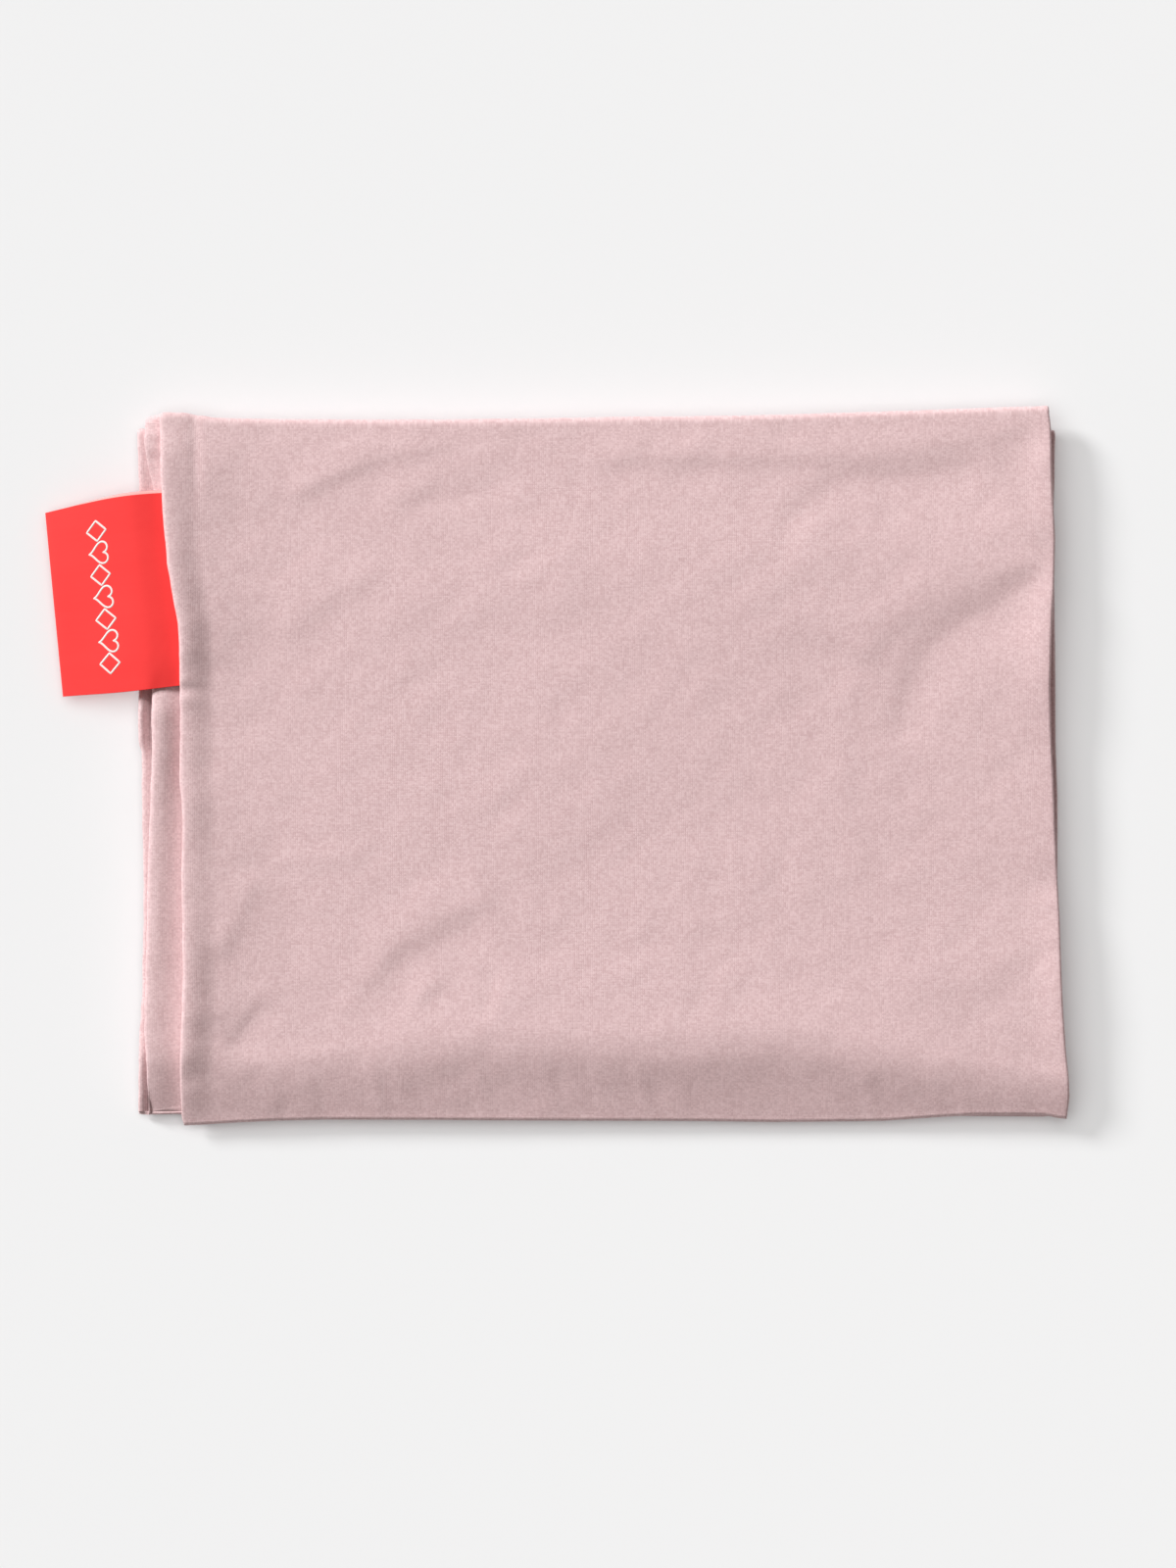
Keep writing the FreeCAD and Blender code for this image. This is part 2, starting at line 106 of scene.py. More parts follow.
TOP_RIGHT = [
    (137.7, -95.4), (138.3, -89.3), (138.0, -84.3), (137.2, -76.6), (136.5, -66.5),
    (136.0, -56.5), (135.5, -41.1), (134.7, -26.6), (134.2, -14.9), (133.8, -2.8), (133.2, 9.4),
    (133.0, 21.6), (133.4, 38.0), (134.0, 49.1), (134.3, 61.3), (133.8, 70.5), (133.5, 77.7),
    (133.2, 90.6), (132.8, 94.3), (132.2, 97.1),
]
UPPER_LEFT = [
    (-110.3, -96.3), (-110.5, -92.2), (-110.7, -84.3), (-111.0, -77.4), (-111.4, -70.3),
    (-111.3, -63.1), (-111.1, -57.3), (-110.7, -44.3), (-110.7, -34.0), (-110.1, -18.9),
    (-109.7, -8.9), (-109.3, 6.5), (-109.4, 12.6), (-109.3, 21.0), (-108.9, 32.1),
    (-108.6, 45.4), (-108.5, 58.6), (-108.6, 69.2), (-108.9, 74.2), (-109.7, 77.7),
    (-110.7, 82.2), (-111.5, 87.5), (-111.3, 91.4), (-110.9, 94.6),
]
UPPER_RIGHT = [
    (132.4, -96.0), (132.6, -60.0), (132.0, -20.0), (131.6, 20.0), (132.2, 60.0), (132.0, 80.0),
    (131.8, 96.5),
]
LOWER_LEFT = [
    (-113.2, -95.1), (-113.3, -92.2), (-113.2, -88.0), (-113.0, -77.4), (-112.6, -68.4),
    (-112.1, -61.8), (-112.1, -57.3), (-111.8, -41.7), (-111.8, -29.0), (-112.1, -13.9),
    (-112.3, 3.8), (-113.1, 6.0), (-113.1, 20.5), (-113.0, 37.4), (-113.0, 58.6),
    (-113.0, 74.0), (-113.2, 82.4), (-113.5, 90.4),
]
LOWER_RIGHT = [
    (135.2, -94.9), (135.3, -73.7), (135.3, -47.2), (135.3, -27.1), (135.3, -8.9), (134.8, 5.7),
    (134.7, 21.6), (134.5, 34.3), (134.2, 45.4), (134.3, 58.6), (134.3, 72.1), (134.5, 77.7),
    (134.5, 83.5), (134.7, 89.3),
]


def smooth(start, end, value):
    """Eases from 0 at start to 1 at end."""
    t = np.clip((np.asarray(value, float) - start) / (end - start), 0, 1)
    return t * t * (3 - 2 * t)


def bell(offset, width):
    return np.exp(-((offset / width) ** 2))


def curve(points, key):
    """A smooth function from the key coordinate (0 x, 1 y) to the other one."""
    samples, blur = 1200, 1.6       # blur is the half width of the smoothing, in mm
    points = sorted(points, key=lambda p: p[key])
    keys = np.array([p[key] for p in points])
    values = np.array([p[1 - key] for p in points])
    fine = np.linspace(keys[0], keys[-1], samples)
    raw = np.interp(fine, keys, values)
    span = max(3, int(blur / (fine[1] - fine[0])))
    kernel = np.hanning(2 * span + 1)
    kernel /= kernel.sum()
    soft = np.convolve(np.pad(raw, span, mode="edge"), kernel, "valid")
    return lambda at: np.interp(at, fine, soft)


top_far, top_near = curve(TOP_FAR, 0), curve(TOP_NEAR, 0)
top_left, top_right = curve(TOP_LEFT, 1), curve(TOP_RIGHT, 1)
upper_left, upper_right = curve(UPPER_LEFT, 1), curve(UPPER_RIGHT, 1)
lower_left, lower_right = curve(LOWER_LEFT, 1), curve(LOWER_RIGHT, 1)


def far_line_top(x):
    return top_far(x) - CREASE_REACH


def far_line_low(x):
    return PIVOT["unfold_lower"][1] + 0.12 * np.sin(x / 21.0)


def near_line_mid(x):
    return PIVOT["unfold_upper"][1] + 0.14 * np.sin(x / 17.0 + 1.0)


def bottom_near(x):
    return HEM_Y + 0.25 * np.sin(x / 13.0)


def bottom_left(y):
    return BOTTOM_LEFT_X + 0.5 * np.sin(y / 19.0) - 6.5 * smooth(74, 90, y)


def bottom_right(y):
    return BOTTOM_RIGHT_X + 0.35 * np.sin(y / 23.0 + 1.0)


# Near and far lines as y of x, then left and right edges as x of y
OUTLINE = {
    "top": (top_near, far_line_top, top_left, top_right),
    "upper": (near_line_mid, far_line_top, upper_left, upper_right),
    "lower": (near_line_mid, far_line_low, lower_left, lower_right),
    "bottom": (bottom_near, far_line_low, bottom_left, bottom_right),
}

# --------------------------------------------------------- how the stack lies
# Rise of the left, seam side over the middle as (y, height): right at the seam,
# over its allowance, and out into the leaf.
SEAM_NARROW = [
    (-96, 0.32), (-86, 0.81), (-75, 1.65), (-65, 1.40), (-55, 1.46), (-45, 1.16), (-35, 0.52),
    (-25, 0.65), (-12, 1.24), (2, 1.30), (12, 1.46), (18, 1.48), (24, 1.95), (32, 2.07),
    (40, 2.09), (48, 1.72), (56, 1.50), (65, 1.10), (76, 0.80), (84, 0.62), (95, 0.55),
]
SEAM_MID = [
    (-96, -0.08), (-86, -0.20), (-75, 1.08), (-65, 1.60), (-55, 1.60), (-45, 1.60),
    (-35, 1.60), (-25, 1.39), (-12, 1.34), (2, 0.57), (12, 0.44), (18, 0.60), (24, 0.97),
    (32, 1.60), (40, 1.60), (48, 1.60), (56, 1.60), (65, 1.60), (80, 1.60), (95, 0.56),
]
SEAM_WIDE = [
    (-96, -0.14), (-86, -0.08), (-75, -0.17), (-65, 0.11), (-55, 0.07), (-45, 0.19),
    (-35, 0.34), (-25, 0.43), (-12, 0.20), (2, 0.05), (12, -0.08), (18, -0.12), (24, -0.09),
    (32, -0.02), (40, 0.27), (48, 0.47), (56, 0.49), (65, 0.34), (80, 0.36), (95, 0.01),
]
# The same along the right fold
FOLD_NARROW = [
    (-95, 0.23), (-82, 0.45), (-70, 0.80), (-58, 1.20), (-48, 0.82), (-38, 0.52), (-31, -0.12),
    (-22, -0.12), (-10, 0.02), (5, 0.03), (18, -0.04), (30, 0.07), (40, 0.37), (48, 0.58),
    (56, -0.09), (68, 0.69), (82, 1.08), (95, 0.30),
]
FOLD_WIDE = [
    (-95, 0.10), (-82, -0.24), (-70, 0.07), (-58, 0.17), (-48, 0.10), (-38, -0.01),
    (-31, -0.07), (-22, 0.19), (-10, 0.18), (5, 0.23), (18, 0.32), (30, 0.38), (40, 0.03),
    (48, -0.05), (56, 0.14), (68, 0.24), (82, 0.07), (95, -0.05),
]
# The near edge, by x: the y where it begins to fall, how far it falls, the swell before it
NEAR_ONSET = [
    (-101, -84), (-85, -86), (-70, -83), (-45, -80), (-20, -76), (10, -77), (40, -77.5),
    (60, -75), (75, -77), (90, -81), (110, -85), (137, -88),
]
NEAR_FALL = [
    (-100, 4.93), (-80, 4.53), (-60, 4.88), (-40, 4.92), (-20, 4.97), (0, 5.32), (20, 5.46),
    (40, 5.69), (55, 5.76), (70, 5.80), (85, 5.80), (100, 5.33), (115, 4.74), (130, 4.64),
]
NEAR_SWELL = [
    (-100, 0.28), (-80, 0.00), (-60, 0.16), (-40, 0.64), (-20, 0.70), (0, 0.88), (20, 1.00),
    (40, 1.00), (55, 0.99), (70, 0.96), (85, 1.00), (100, 0.60), (115, 0.13), (130, 0.08),
]
STACK_HEIGHT = 9.1
STACK_SIDE_SHARE = 0.32        # the part of the side rise that the whole stack takes


def profile(at, table):
    """A smooth curve through (position, value) pairs."""
    places, values = np.transpose(table)
    i = np.clip(np.searchsorted(places, at) - 1, 0, len(places) - 2)
    t = np.clip((at - places[i]) / (places[i + 1] - places[i]), 0, 1)
    return values[i] + (values[i + 1] - values[i]) * t * t * (3 - 2 * t)


def onset(x):
    return np.interp(x, *np.transpose(NEAR_ONSET))


def sides(x, y):
    """The rise of the stack towards its seam side and its fold side."""
    from_seam = np.maximum(x - top_left(y), 0.0)
    from_fold = top_right(y) - x
    z = profile(y, SEAM_NARROW) * (1 - smooth(1.5, 9.5, from_seam))
    z = z + profile(y, SEAM_MID) * bell(from_seam, 15.0)
    z = z + profile(y, SEAM_WIDE) * bell(from_seam, 30.0)
    z = z + profile(y, FOLD_NARROW) * bell(from_fold, 6.0)
    return z + profile(y, FOLD_WIDE) * bell(from_fold, 16.0)


def press(x, y):
    """How far the stack is crushed or puffed: 1 is the frame's own height."""
    crown = 1.1 * bell(x - 12, 105) * bell(y - 8, 74)
    start = onset(x) + 6.0
    t = np.clip((start - y) / (start + 97.0), 0, 1.05)
    knee = 0.42                # how softly the fall sets in
    fall = (np.sqrt(t * t + knee * knee) - knee) / (math.sqrt(1 + knee * knee) - knee)
    rise = crown - profile(x, NEAR_FALL) * fall + STACK_SIDE_SHARE * sides(x, y)
    return 1.0 + rise / STACK_HEIGHT


def middle_and_half(leaf, x, y):
    """The height of a leaf's middle and half its thickness."""
    pressed = press(x, y)
    low, high = UNDERSIDE[leaf], CEILING[leaf]
    return (low + high) / 2 * pressed, (high - low) / 2 * pressed


def value_noise(x, y, scale, seed):
    """Smooth noise in -1..1 with the given feature size."""
    size = 64
    grid = np.random.default_rng(seed).uniform(-1, 1, (size, size))
    scale_x, scale_y = (scale, scale) if np.isscalar(scale) else scale
    u, v = x / scale_x + 31.7, y / scale_y + 17.3
    i, j = np.floor(u).astype(int), np.floor(v).astype(int)
    a, b = u - i, v - j
    a, b = (t * t * t * (t * (t * 6 - 15) + 10) for t in (a, b))
    i0, i1, j0, j1 = i % size, (i + 1) % size, j % size, (j + 1) % size
    return (
        grid[i0, j0] * (1 - a) * (1 - b) + grid[i1, j0] * a * (1 - b)
        + grid[i0, j1] * (1 - a) * b + grid[i1, j1] * a * b
    )


# ------------------------------------------------------------------- wrinkles
# Lines on the top leaf: (points, width on the left of the line as it is walked,
# width on its right, taper of the ends, height: above 0 a ridge, below 0 a furrow)
WRINKLES = [
    # far crest, right
    ([(131, 95), (122, 92), (112, 89), (98, 86), (82, 84.5), (62, 84.5)], 3.6, 6.5, 0.15, 0.37),
    # far crest, middle
    ([(75, 84.5), (50, 84), (25, 84), (0, 83.5)], 3.4, 6.5, 0.30, 0.47),
    # bed on its near side
    ([(118, 82), (106, 79), (94, 77.3), (80, 76.8), (68, 76.0)], 6.0, 3.2, 0.20, -0.36),
    # valley running nearer from the bed
    ([(78, 77), (69, 71), (63, 64), (60, 56)], 4.5, 4.0, 0.25, -0.31),
    # swell beyond the long pull
    ([(118, 62), (98, 60), (76, 57)], 9.0, 13.0, 0.00, 0.25),
    # long pull from the right fold, crest
    ([(134, 61), (124, 55.5), (113, 51.5), (103, 47.5), (92, 42), (84, 35), (79, 26)],
     6.5, 14.0, 0.12, 0.74),
    # long pull, bed
    ([(134, 54), (127, 47.5), (120, 43), (110, 37.5), (102, 31.5), (97, 23), (94, 13),
      (92.5, 3)], 8.0, 4.5, 0.12, -0.57),
    # rise along the right fold
    ([(136, 50), (134, 42), (134, 33), (134, 25)], 9.0, 9.0, 0.00, 1.09),
    # faint rise inside the right fold
    ([(118, 30), (112, 22), (108, 12)], 9.0, 9.0, 0.00, 0.03),
    # curved ridge right of the middle
    ([(82, 32), (79.5, 20), (77.5, 8), (77, -4), (78, -14), (82, -27), (86, -37)],
     3.4, 6.0, 0.20, 0.16),
    # faint ridge on its right
    ([(93, 20), (90, 8), (88.5, -4), (89, -14), (92, -24)], 5.0, 4.0, 0.25, 0.03),
    # broad swell left of the long pull
    ([(72, 45), (55, 40), (38, 34)], 12.0, 16.0, 0.00, 0.56),
    # faint diagonal ridge
    ([(75, 28), (62, 20), (55, 13)], 4.5, 8.0, 0.30, 0.12),
    # far left crest 1
    ([(-28, 87.5), (-40, 85.5), (-52, 82.5), (-62, 78.5), (-70, 74.5), (-77, 72)],
     3.2, 7.0, 0.20, 0.44),
    # far left crest 2
    ([(-8, 84.5), (-20, 82.5), (-30, 79.5), (-40, 75), (-50, 70.5)], 3.0, 4.5, 0.20, 0.14),
    # bed of crest 2
    ([(-10, 76), (-22, 73), (-34, 70.5), (-46, 66)], 5.0, 3.2, 0.25, -0.20),
    # far left crest 3
    ([(-44, 56), (-54, 51), (-63, 46), (-71, 38), (-76, 31)], 4.2, 8.0, 0.20, 0.33),
    # short ridge in the far left corner
    ([(-84, 86), (-92, 80), (-96, 72)], 4.0, 7.0, 0.25, 0.18),
    # short ridge nearer the middle of the left side
    ([(-76, 52), (-80, 46), (-86, 38)], 5.0, 7.0, 0.25, 0.09),
    # light diagonal ridge
    ([(4, 66), (-10, 59), (-24, 52)], 3.0, 5.0, 0.30, 0.15),
    # near left diagonal, crest
    ([(-14, -33), (-26, -37.5), (-36, -42.5), (-44, -48), (-51, -55)], 3.4, 8.0, 0.18, 0.40),
    # its bed
    ([(-18, -42), (-30, -47.5), (-40, -53), (-48, -60)], 6.0, 3.0, 0.20, -0.27),
    # its far end
    ([(22, -8), (8, -17), (-6, -25), (-18, -32)], 5.0, 11.0, 0.25, 0.16),
    # its near end
    ([(-48, -52), (-54, -60), (-58, -69)], 5.0, 8.0, 0.25, 0.27),
    # small ridge beside it
    ([(-31, -56), (-35, -60), (-40, -65)], 2.4, 3.2, 0.30, 0.22),
    # narrow furrow
    ([(-17, -54), (-18, -62), (-20, -70)], 2.2, 3.5, 0.25, -0.17),
    # pull at the seam, 1
    ([(-81, -27), (-85, -37), (-89, -45), (-94, -53)], 3.6, 5.0, 0.20, 0.36),
    # pull at the seam, 2
    ([(-79.5, -60), (-84, -64.5), (-89, -69), (-94, -73)], 2.8, 5.5, 0.20, 0.16),
    # its bed
    ([(-78, -63), (-83, -70), (-88, -78)], 5.0, 2.4, 0.20, -0.31),
    # pull at the seam, 3
    ([(-66, -84), (-74, -88), (-82, -93)], 3.0, 5.0, 0.20, 0.14),
    # long shallow hollow right of the pulls
    ([(-72, -28), (-71, -45), (-73, -60), (-71, -72)], 6.0, 7.0, 0.00, -0.09),
    # faint level ridge
    ([(-48, -24), (-62, -25), (-78, -25)], 2.5, 4.0, 0.25, 0.13),
    # small curl, furrow
    ([(68, -16), (62.5, -21), (59.5, -28), (60.5, -37), (65, -44)], 2.0, 2.8, 0.20, -0.09),
    # small curl, ridge inside it
    ([(72, -22), (68, -29), (67, -38)], 2.5, 3.5, 0.25, 0.04),
    # three small lines near the middle
    ([(27, -34), (24, -41), (22.5, -48)], 2.2, 4.0, 0.25, 0.11),
    ([(46, -26), (43, -34), (41, -42)], 3.5, 5.0, 0.25, -0.06),
    ([(42, -48), (45, -54), (46, -60)], 2.0, 3.0, 0.25, 0.04),
    # small dimple
    ([(85, -40), (82, -44.5), (78, -47.5)], 2.4, 3.5, 0.25, -0.02),
    # small rise
    ([(93, -37), (93.5, -45), (92, -53)], 4.0, 3.0, 0.25, 0.10),
    # broad rise at the near right
    ([(122, -50), (112, -56), (98, -60)], 6.0, 10.0, 0.00, 0.38),
    # broad hollow at the near left
    ([(-58, -62), (-44, -62), (-30, -60)], 7.0, 9.0, 0.00, -0.24),
    # broad swell at the near middle
    ([(-12, -60), (10, -58), (30, -58)], 7.0, 12.0, 0.00, 0.27),
    # furrow along pull 2
    ([(-81, -60.5), (-86, -66), (-91, -71)], 3.0, 2.5, 0.20, -0.19),
    # hollow at the far right
    ([(92, 72), (108, 74), (122, 76)], 7.0, 8.0, 0.00, -0.27),
    # swell beside the curved ridge
    ([(60, 0), (70, -6), (76, -16)], 8.0, 8.0, 0.00, 0.09),
    # faint hollow at the far left
    ([(-88, 64), (-82, 58), (-80, 50)], 7.0, 8.0, 0.00, -0.05),
    # faint broad hollow, left of the middle
    ([(-79, 2), (-44, 9), (-8, 23)], 14.0, 16.0, 0.00, -0.03),
    # broad swell on its near side
    ([(-51, -19), (-15, -8), (20, 6)], 13.0, 15.0, 0.00, 0.10),
    # broad swell, far middle
    ([(6, 52), (34, 55), (62, 59)], 12.0, 15.0, 0.00, 0.67),
    # broad swell, centre
    ([(-5, 9), (27, 20), (55, 23)], 12.0, 15.0, 0.00, 0.15),
    # long swell towards the far edge
    ([(-37, 66), (-1, 68), (41, 69)], 9.0, 11.0, 0.00, 0.21),
    # broad hollow on the near side of the centre
    ([(10, -22), (30, -14), (52, -8)], 10.0, 14.0, 0.00, -0.28),
    # faint swell, left
    ([(-62, -2), (-58, -12), (-66, -22)], 8.0, 10.0, 0.00, 0.05),
    # swell left of the far middle
    ([(-40, 44), (-20, 47), (0, 50)], 10.0, 12.0, 0.00, 0.35),
    # swell between it and the centre
    ([(20, 36), (10, 28), (-4, 24)], 7.0, 10.0, 0.00, 0.25),
]


def stroke(x, y, points, left, right, taper, height):
    """A ridge or furrow along a line of points, with a width on each side, so
    that one flank can be steeper."""
    points = np.array(points, float)
    nearest = np.full(x.shape, 1e9)
    along = np.zeros(x.shape)
    side = np.zeros(x.shape)
    lengths = np.hypot(*(points[1:] - points[:-1]).T)
    total, run = lengths.sum(), 0.0
    for start, end, length in zip(points[:-1], points[1:], lengths):
        step_x, step_y = (end - start) / length
        t = np.clip((x - start[0]) * step_x + (y - start[1]) * step_y, 0, length)
        off_x, off_y = x - start[0] - t * step_x, y - start[1] - t * step_y
        distance = np.hypot(off_x, off_y)
        nearer = distance < nearest
        nearest = np.where(nearer, distance, nearest)
        along = np.where(nearer, (run + t) / total, along)
        turn = (step_x * off_y - step_y * off_x) / np.maximum(distance, 1e-6)
        side = np.where(nearer, turn, side)
        run += length
    width = right + (left - right) * (side * 0.5 + 0.5)
    ends = smooth(0, taper, along) * smooth(0, taper, 1 - along) if taper else 1.0
    return height * bell(nearest, width) * ends


def wrinkle(x, y):
    """Height added to the top leaf's upper face, in millimetres."""
    z = (1 - STACK_SIDE_SHARE) * sides(x, y)
    for line in WRINKLES:
        z += stroke(x, y, *line)
    # the swell, steeper on its near side
    start = onset(x)
    z += profile(x, NEAR_SWELL) * bell(y - start, np.where(y < start, 8.0, 16.0))
    # a groove beside the seam in the far corner
    z += -0.28 * bell(x - top_left(y) - 9.5, 1.5) * smooth(68, 80, y)
    # a pucker where the label's near edge leaves the seam
    z += -0.60 * bell(x + 101, 3.2) * bell(y - 20.6, 1.1)
    z += 0.25 * bell(x + 99.5, 4.0) * bell(y - 17.6, 1.7)
    # crumple, coarse to fine
    turned_x, turned_y = x * 0.8 + y * 0.6, -x * 0.6 + y * 0.8
    z += 0.070 * value_noise(turned_x, turned_y, scale=(11.0, 6.0), seed=21)
    z += 0.040 * value_noise(x, y, scale=4.6, seed=22)
    z += 0.014 * value_noise(x, y, scale=2.3, seed=24)
    # fine fluting where the near edge is pressed down
    flute = smooth(start + 3.0, start - 8.0, y) * (1 - smooth(-93, -96, y))
    z += flute * 0.10 * value_noise(x + 0.25 * y, y, scale=(3.6, 26.0), seed=25)
    return z


# ------------------------------------------------------------ building sheets
# The side edges in cross-section, as (distance in from the edge, share of the
# half thickness): the left seam and the plain right fold.
SEAM = [
    (0.62, 0.0), (0.24, 0.10), (0.06, 0.24), (0.0, 0.44), (0.05, 0.64), (0.20, 0.82),
    (0.45, 0.93), (0.85, 0.985), (1.4, 1.0),
]
FOLD = [
    (0.0, 0.0), (0.02, 0.26), (0.07, 0.50), (0.16, 0.71), (0.30, 0.86), (0.48, 0.95),
    (0.75, 0.99), (1.1, 1.0),
]
# How far the left rim of each covered leaf curls up (or lies down), as (y, height)
CURL = {
    "upper": [
        (-96, 0.5), (-85, 0.8), (-70, 0.9), (-60, 1.0), (-50, 1.3), (-40, 1.45), (-30, 1.3),
        (-20, 1.5), (-12, 1.8), (-5, 2.4), (3, 2.8), (14, 2.8), (18, 2.0), (22, 1.2),
        (27, 0.5), (34, 0.3), (58, 0.3), (66, 0.1), (71, -0.4), (78, -0.6), (82, -0.1),
        (86, 0.8), (89, 1.0), (92, 0.4), (94, 0.0), (95, 0.0),
    ],
    "lower": [
        (-96, 1.9), (-80, 1.5), (-70, 0.3), (-50, 0.1), (-20, 0.1), (-6, 0.6), (2, 1.1),
        (8, 2.3), (16, 2.6), (24, 0.0), (70, 0.1), (76, 0.5), (90, 0.6),
    ],
    "bottom": [(-96, 0.0), (96, 0.0)],
}
# grid: columns between the side edges, and rows. crease: the side where the leaf turns
# into the one below, 1 far, -1 near, 0 none. open_near: the near edge is a rounded end.
# crest, width: where the rim's curl begins and stops falling, in from the edge.
# near_drop: how far the free strip falls at the near edge.
LEAF = {
    "top": dict(grid=(300, 250), crease=1, open_near=True, pucker_seed=64),
    "upper": dict(grid=(170, 140), crease=-1, open_near=False, pucker_seed=66,
                  ripple_seed=41, crest=1.3, width=9.8, near_drop=1.6),
    "lower": dict(grid=(170, 140), crease=1, open_near=False, pucker_seed=66,
                  ripple_seed=42, crest=0.5, width=3.6, near_drop=1.2),
    "bottom": dict(grid=(150, 120), crease=0, open_near=True, pucker_seed=67,
                   ripple_seed=43, crest=0.5, width=3.6, near_drop=0.0),
}
DETAIL = 1.0


def link_mesh(name, points, faces, point_uv):
    """A smooth object from points and UVs in millimetres, one UV per point."""
    data = bpy.data.meshes.new(name)
    data.from_pydata((np.array(points) * MM).tolist(), [], faces)
    layer = data.uv_layers.new(name="UVMap")
    corners = np.zeros(len(data.loops), np.int32)
    data.loops.foreach_get("vertex_index", corners)
    corner_uv = np.array(point_uv)[corners] / UV_MM
    layer.data.foreach_set("uv", corner_uv.astype(np.float32).ravel())
    data.polygons.foreach_set("use_smooth", np.ones(len(data.polygons), bool))
    data.update()
    made = bpy.data.objects.new(name, data)
    bpy.context.scene.collection.objects.link(made)
    return made


def band(name, over, under, uv):
    """A closed band from two sheets of points (rows, columns, 3), joined along
    both side edges."""
    ring = np.concatenate([over, under[:, -2:0:-1]], 1)
    ring_uv = np.concatenate([uv, uv[:, -2:0:-1] + [UNDER_SHIFT, 0.0]], 1)
    rows, around = ring.shape[:2]
    index = np.arange(rows * around).reshape(rows, around)
    beside = np.roll(index, -1, 1)
    quads = np.stack([index[:-1], beside[:-1], beside[1:], index[1:]], -1).reshape(-1, 4)
    return link_mesh(name, ring.reshape(-1, 3), quads.tolist(), ring_uv.reshape(-1, 2))


def across(count, left, right):
    """Column places between arrays of left and right edges, with their shares
    of the half thickness."""
    start, end = left + SEAM[-1][0], right - FOLD[-1][0]
    x = [left + inset for inset, _ in SEAM]
    x += [start + (end - start) * t for t in np.linspace(0, 1, count + 2)[1:-1]]
    x += [right - inset for inset, _ in reversed(FOLD)]
    share = [s for _, s in SEAM] + [1.0] * count + [s for _, s in reversed(FOLD)]
    return np.stack(x, 1), np.tile(share, (len(left), 1))


def plan_grid(columns, rows, near, far, left, right):
    """Rows of x, y points of a leaf, near to far, following its four sides."""
    bunching = 0.35                # how much the rows close up at both ends
    t = np.linspace(0, 1, rows)
    t = t - bunching * np.sin(2 * np.pi * t) / (2 * np.pi)
    first, last = near(left(-96.0)), far(left(92.0))
    left_y = right_y = first + (last - first) * t
    # the second pass takes the edges at each row's own y
    for _ in range(2):
        x, share = across(columns, left(left_y), right(right_y))
        y = near(x) + (far(x) - near(x)) * t[:, None]
        left_y, right_y = y[:, 0], y[:, -1]
    return x, y, share


def rim_lift(leaf, x, y, inset, share):
    """Lift of the upper and under faces of a covered leaf, with its curling left rim."""
    spec = LEAF[leaf]
    crest, width = spec["crest"], spec["width"]
    lift = 0.045 * value_noise(x, y, scale=6.0, seed=spec["ripple_seed"])
    curl = profile(y, CURL[leaf])
    up = np.maximum(curl, 0)
    raised = up * (1 - smooth(crest, width, inset))
    raised -= 0.28 * np.clip(curl, 0, 1.2) * bell(inset, 1.7)
    lowered = np.minimum(curl, 0) * (1 - smooth(0.2, 4.6, inset))
    lift += raised + lowered
    # a shallow trough where the curl meets the leaf
    trough = smooth(0.3 * width, width, inset) * (1 - smooth(width + 2.0, width + 8.0, inset))
    lift -= up * 0.12 * trough
    # the free strip falls to the near edge
    lift -= spec["near_drop"] * smooth(-74, -97, y) * (1 - smooth(8.0, 14.0, inset)) * share
    return lift, 0.6 * raised * smooth(-0.5, 2.0, inset)


